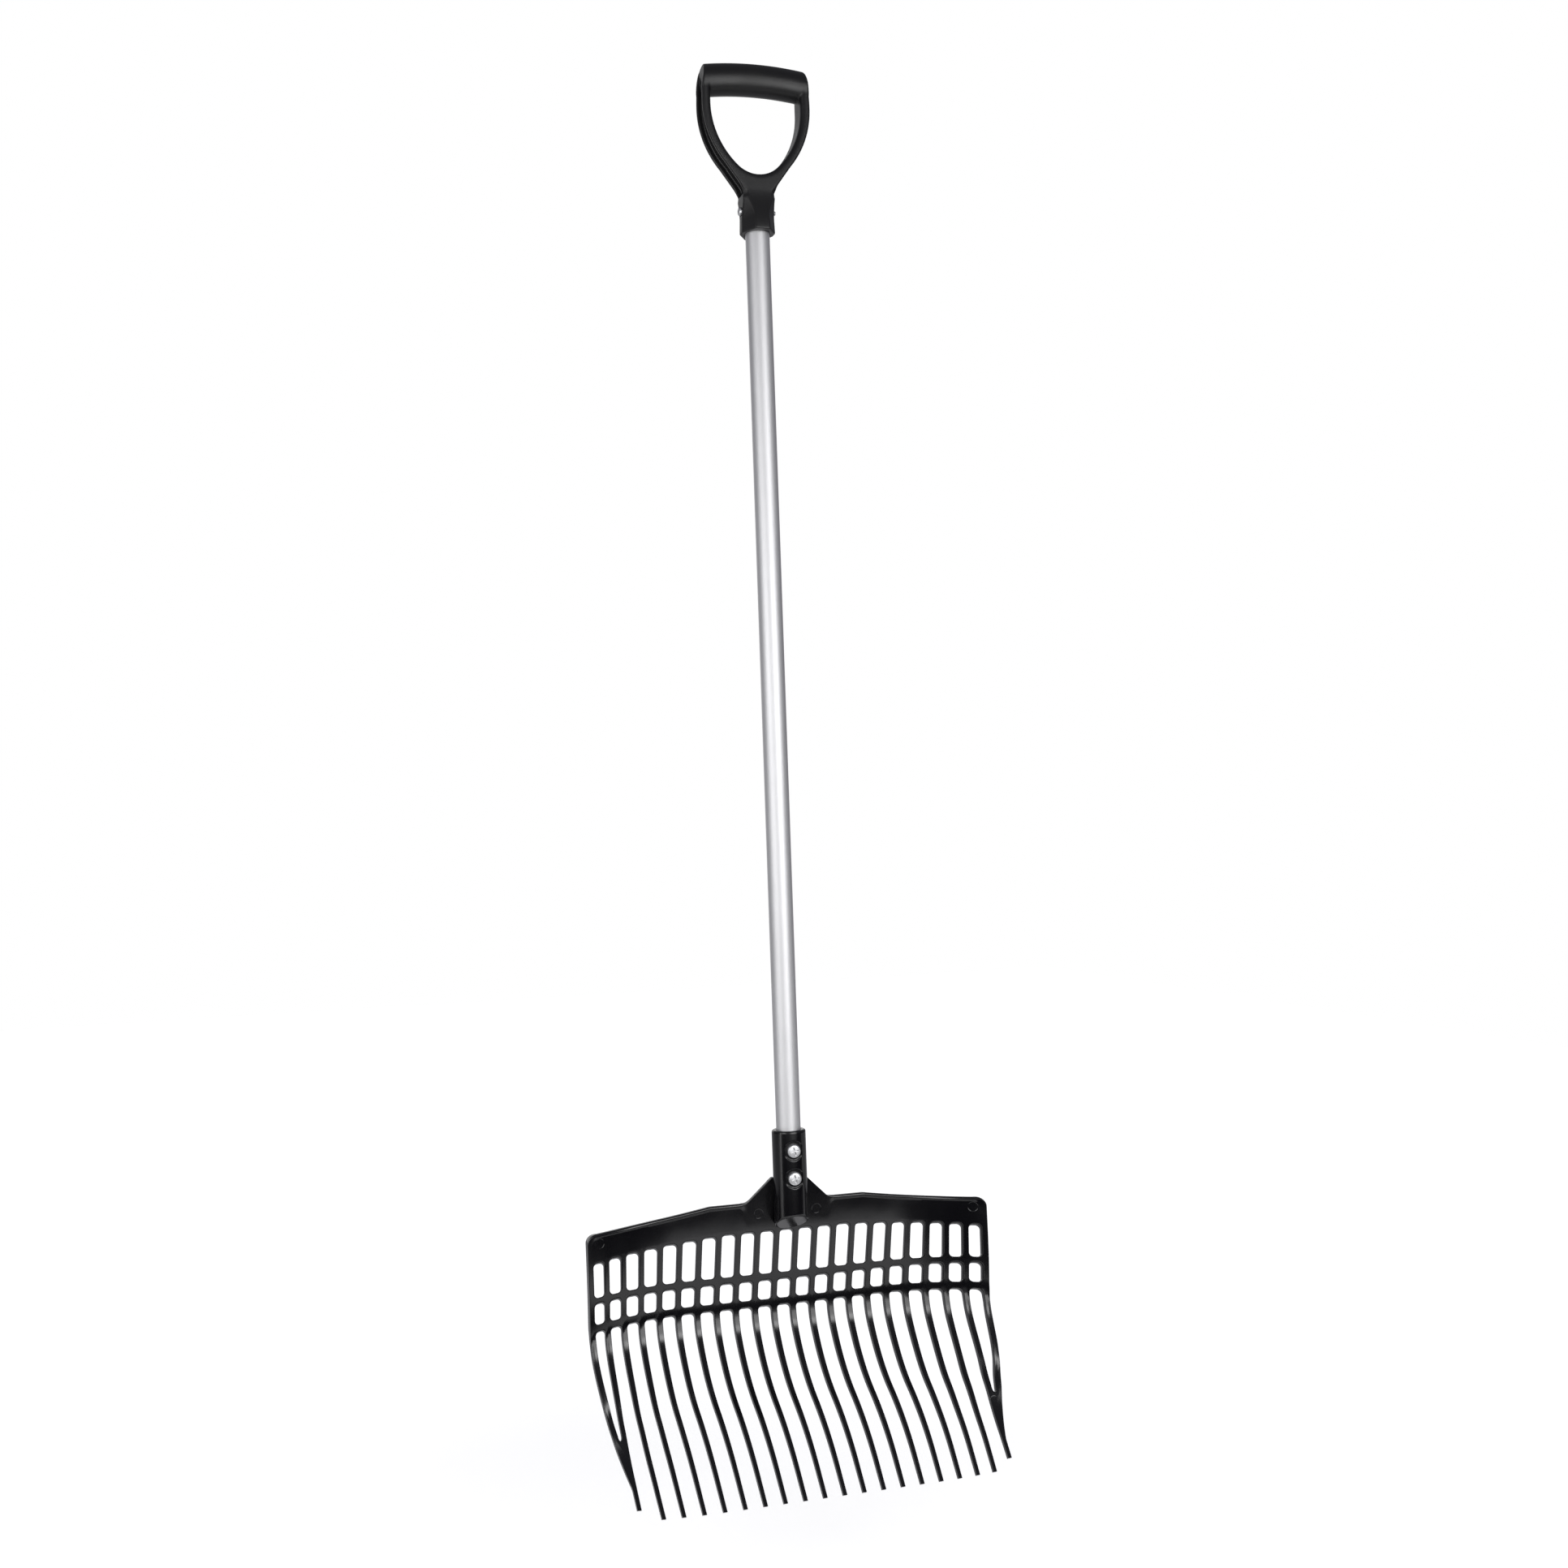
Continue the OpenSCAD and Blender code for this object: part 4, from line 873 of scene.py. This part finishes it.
# A plain pale studio. The floor lies below the tips of the tines; it and the world are white to the camera, and near
# the fork the floor keeps a shadow. Five soft lights stand in front of the fork: two on the left, one on the right,
# a broad one behind the camera and one from above.
floor_z, floor_front, floor_back, floor_half = -0.42, -0.42, 6, 3
floor_pale, plain_white = (0.9, 0.9, 0.9, 1), (1, 1, 1, 1)
sky_low, sky_high = (0.03, 0.03, 0.035, 1), (0.18, 0.18, 0.20, 1)
mesh = bpy.data.meshes.new("floor")
mesh.from_pydata([(-floor_half, floor_front, floor_z), (floor_half, floor_front, floor_z),
                  (floor_half, floor_back, floor_z), (-floor_half, floor_back, floor_z)], [], [(0, 1, 2, 3)])
floor = bpy.data.objects.new("floor", mesh)
bpy.context.scene.collection.objects.link(floor)
material, tree, shader = new_material("pale_floor")
shader.inputs["Base Color"].default_value = floor_pale
shader.inputs["Roughness"].default_value = 0.9
shader.inputs["Specular IOR Level"].default_value = 0.0
shader.inputs["Emission Color"].default_value = plain_white
place, apart, seen = add(tree, "TexCoord"), add(tree, "SeparateXYZ"), add(tree, "LightPath")
far = add(tree, "VectorMath", operation="LENGTH")
reach = add(tree, "MapRange", {"From Min": 0.45, "From Max": 1.5, "To Min": 0.58, "To Max": 0.88})
fade = add(tree, "MapRange", {"From Min": -0.30, "From Max": 0.15, "To Min": 0.576, "To Max": 0.108})
glow, shine = add(tree, "Math", operation="MULTIPLY"), add(tree, "Math", operation="MULTIPLY")
either_ray = add(tree, "Math", operation="MAXIMUM")
wire(tree, (place, "Object", far, 0), (far, "Value", reach, "Value"), (place, "Object", apart, "Vector"),
     (apart, "Y", fade, "Value"), (seen, "Is Camera Ray", glow, 0), (reach, "Result", glow, 1),
     (seen, "Is Glossy Ray", shine, 0), (fade, "Result", shine, 1), (glow, "Value", either_ray, 0),
     (shine, "Value", either_ray, 1), (either_ray, "Value", shader, "Emission Strength"))
mesh.materials.append(material)

world = bpy.data.worlds.new("studio")
bpy.context.scene.world = world
world.use_nodes = True
tree = world.node_tree
sky = tree.nodes["Background"]
sky.inputs["Strength"].default_value = 1.0
place, apart, seen = add(tree, "TexCoord"), add(tree, "SeparateXYZ"), add(tree, "LightPath")
behind = add(tree, "MapRange", {"From Min": 0.75, "From Max": 0.93})
level = add(tree, "MapRange", {"From Min": -1.0})
height = add(tree, "ValToRGB")
height.color_ramp.elements[0].position = 0.45
height.color_ramp.elements[0].color = sky_low
height.color_ramp.elements[1].position = 0.55
height.color_ramp.elements[1].color = sky_high
white = add(tree, "Math", operation="MAXIMUM")
tone = add(tree, "Mix", {"B": plain_white}, data_type="RGBA")
wire(tree, (place, "Generated", apart, "Vector"), (apart, "Y", behind, "Value"), (apart, "Z", level, "Value"),
     (level, "Result", height, "Fac"), (height, "Color", tone, "A"), (behind, "Result", white, 0),
     (seen, "Is Camera Ray", white, 1), (white, "Value", tone, "Factor"), (tone, "Result", sky, "Color"))


def standing(axes, place):
    """Matrix of a thing whose own axes are the columns of axes and which stands at a place."""
    return Matrix([(*row, p) for row, p in zip(axes, place)] + [(0, 0, 0, 1)])


def soft_light(name, place, aim, wide, tall, watts):
    """A rectangular soft light at a place, turned towards a point and upright."""
    lamp = bpy.data.lights.new(name, "AREA")
    lamp.shape = "RECTANGLE"
    lamp.size, lamp.size_y = wide, tall
    lamp.energy = watts
    stand = bpy.data.objects.new(name, lamp)
    back = np.array(place, float) - aim
    back /= np.linalg.norm(back)
    right = np.cross((0, 0, 1.0), back)
    right /= np.linalg.norm(right)
    stand.matrix_world = standing(np.stack([right, np.cross(back, right), back], 1), place)
    bpy.context.scene.collection.objects.link(stand)


soft_light("left_light", (-0.88, -0.74, 0.42), aim=(0, 0, 0.4), wide=0.5, tall=0.75, watts=4.5)
soft_light("left_strip", (-1.90, -0.55, 0.50), aim=(0, 0, 0.5), wide=0.3, tall=1.8, watts=6)
soft_light("right_light", (0.32, -1.12, 0.35), aim=(0, 0, 0.35), wide=0.8, tall=0.9, watts=8)
soft_light("front_wall", (-0.3, -2.7, 0.6), aim=(0, 0, 0.4), wide=3.0, tall=2.2, watts=7)
soft_light("top_light", (0.68, -2.05, 1.07), aim=(0, 0, -0.18), wide=0.9, tall=0.5, watts=5)


# The camera stands where the photo was taken from: in front of the fork and to its left, at the height of the shaft's
# lower third. Its turns, its focal length in pixels and where it sees the frame's origin were worked out from the
# mirror pairs of the fork's head.
yaw, pitch, roll = math.radians(16.898), math.radians(-0.942), math.radians(-1.993)
photo_px, focal_px, sensor_w = 1932, 2350, 36.0
origin_seen = np.array([0.0039938, 0.3092061, 1.7097279])
camera = bpy.data.cameras.new("photo_camera")
camera.sensor_width = sensor_w
camera.lens = sensor_w * focal_px / photo_px
view = bpy.data.objects.new("photo_camera", camera)
turned = (np.array([[math.cos(roll), -math.sin(roll), 0], [math.sin(roll), math.cos(roll), 0], [0, 0, 1]])
          @ np.array([[1, 0, 0], [0, math.cos(pitch), -math.sin(pitch)], [0, math.sin(pitch), math.cos(pitch)]])
          @ np.array([[1, 0, 0], [0, 0, -1], [0, 1, 0]])
          @ np.array([[math.cos(yaw), -math.sin(yaw), 0], [math.sin(yaw), math.cos(yaw), 0], [0, 0, 1]]))
view.matrix_world = standing(np.stack([turned[0], -turned[1], -turned[2]], 1), -turned.T @ origin_seen)
bpy.context.scene.collection.objects.link(view)
bpy.context.scene.camera = view
bpy.context.scene.view_settings.view_transform = "Standard"
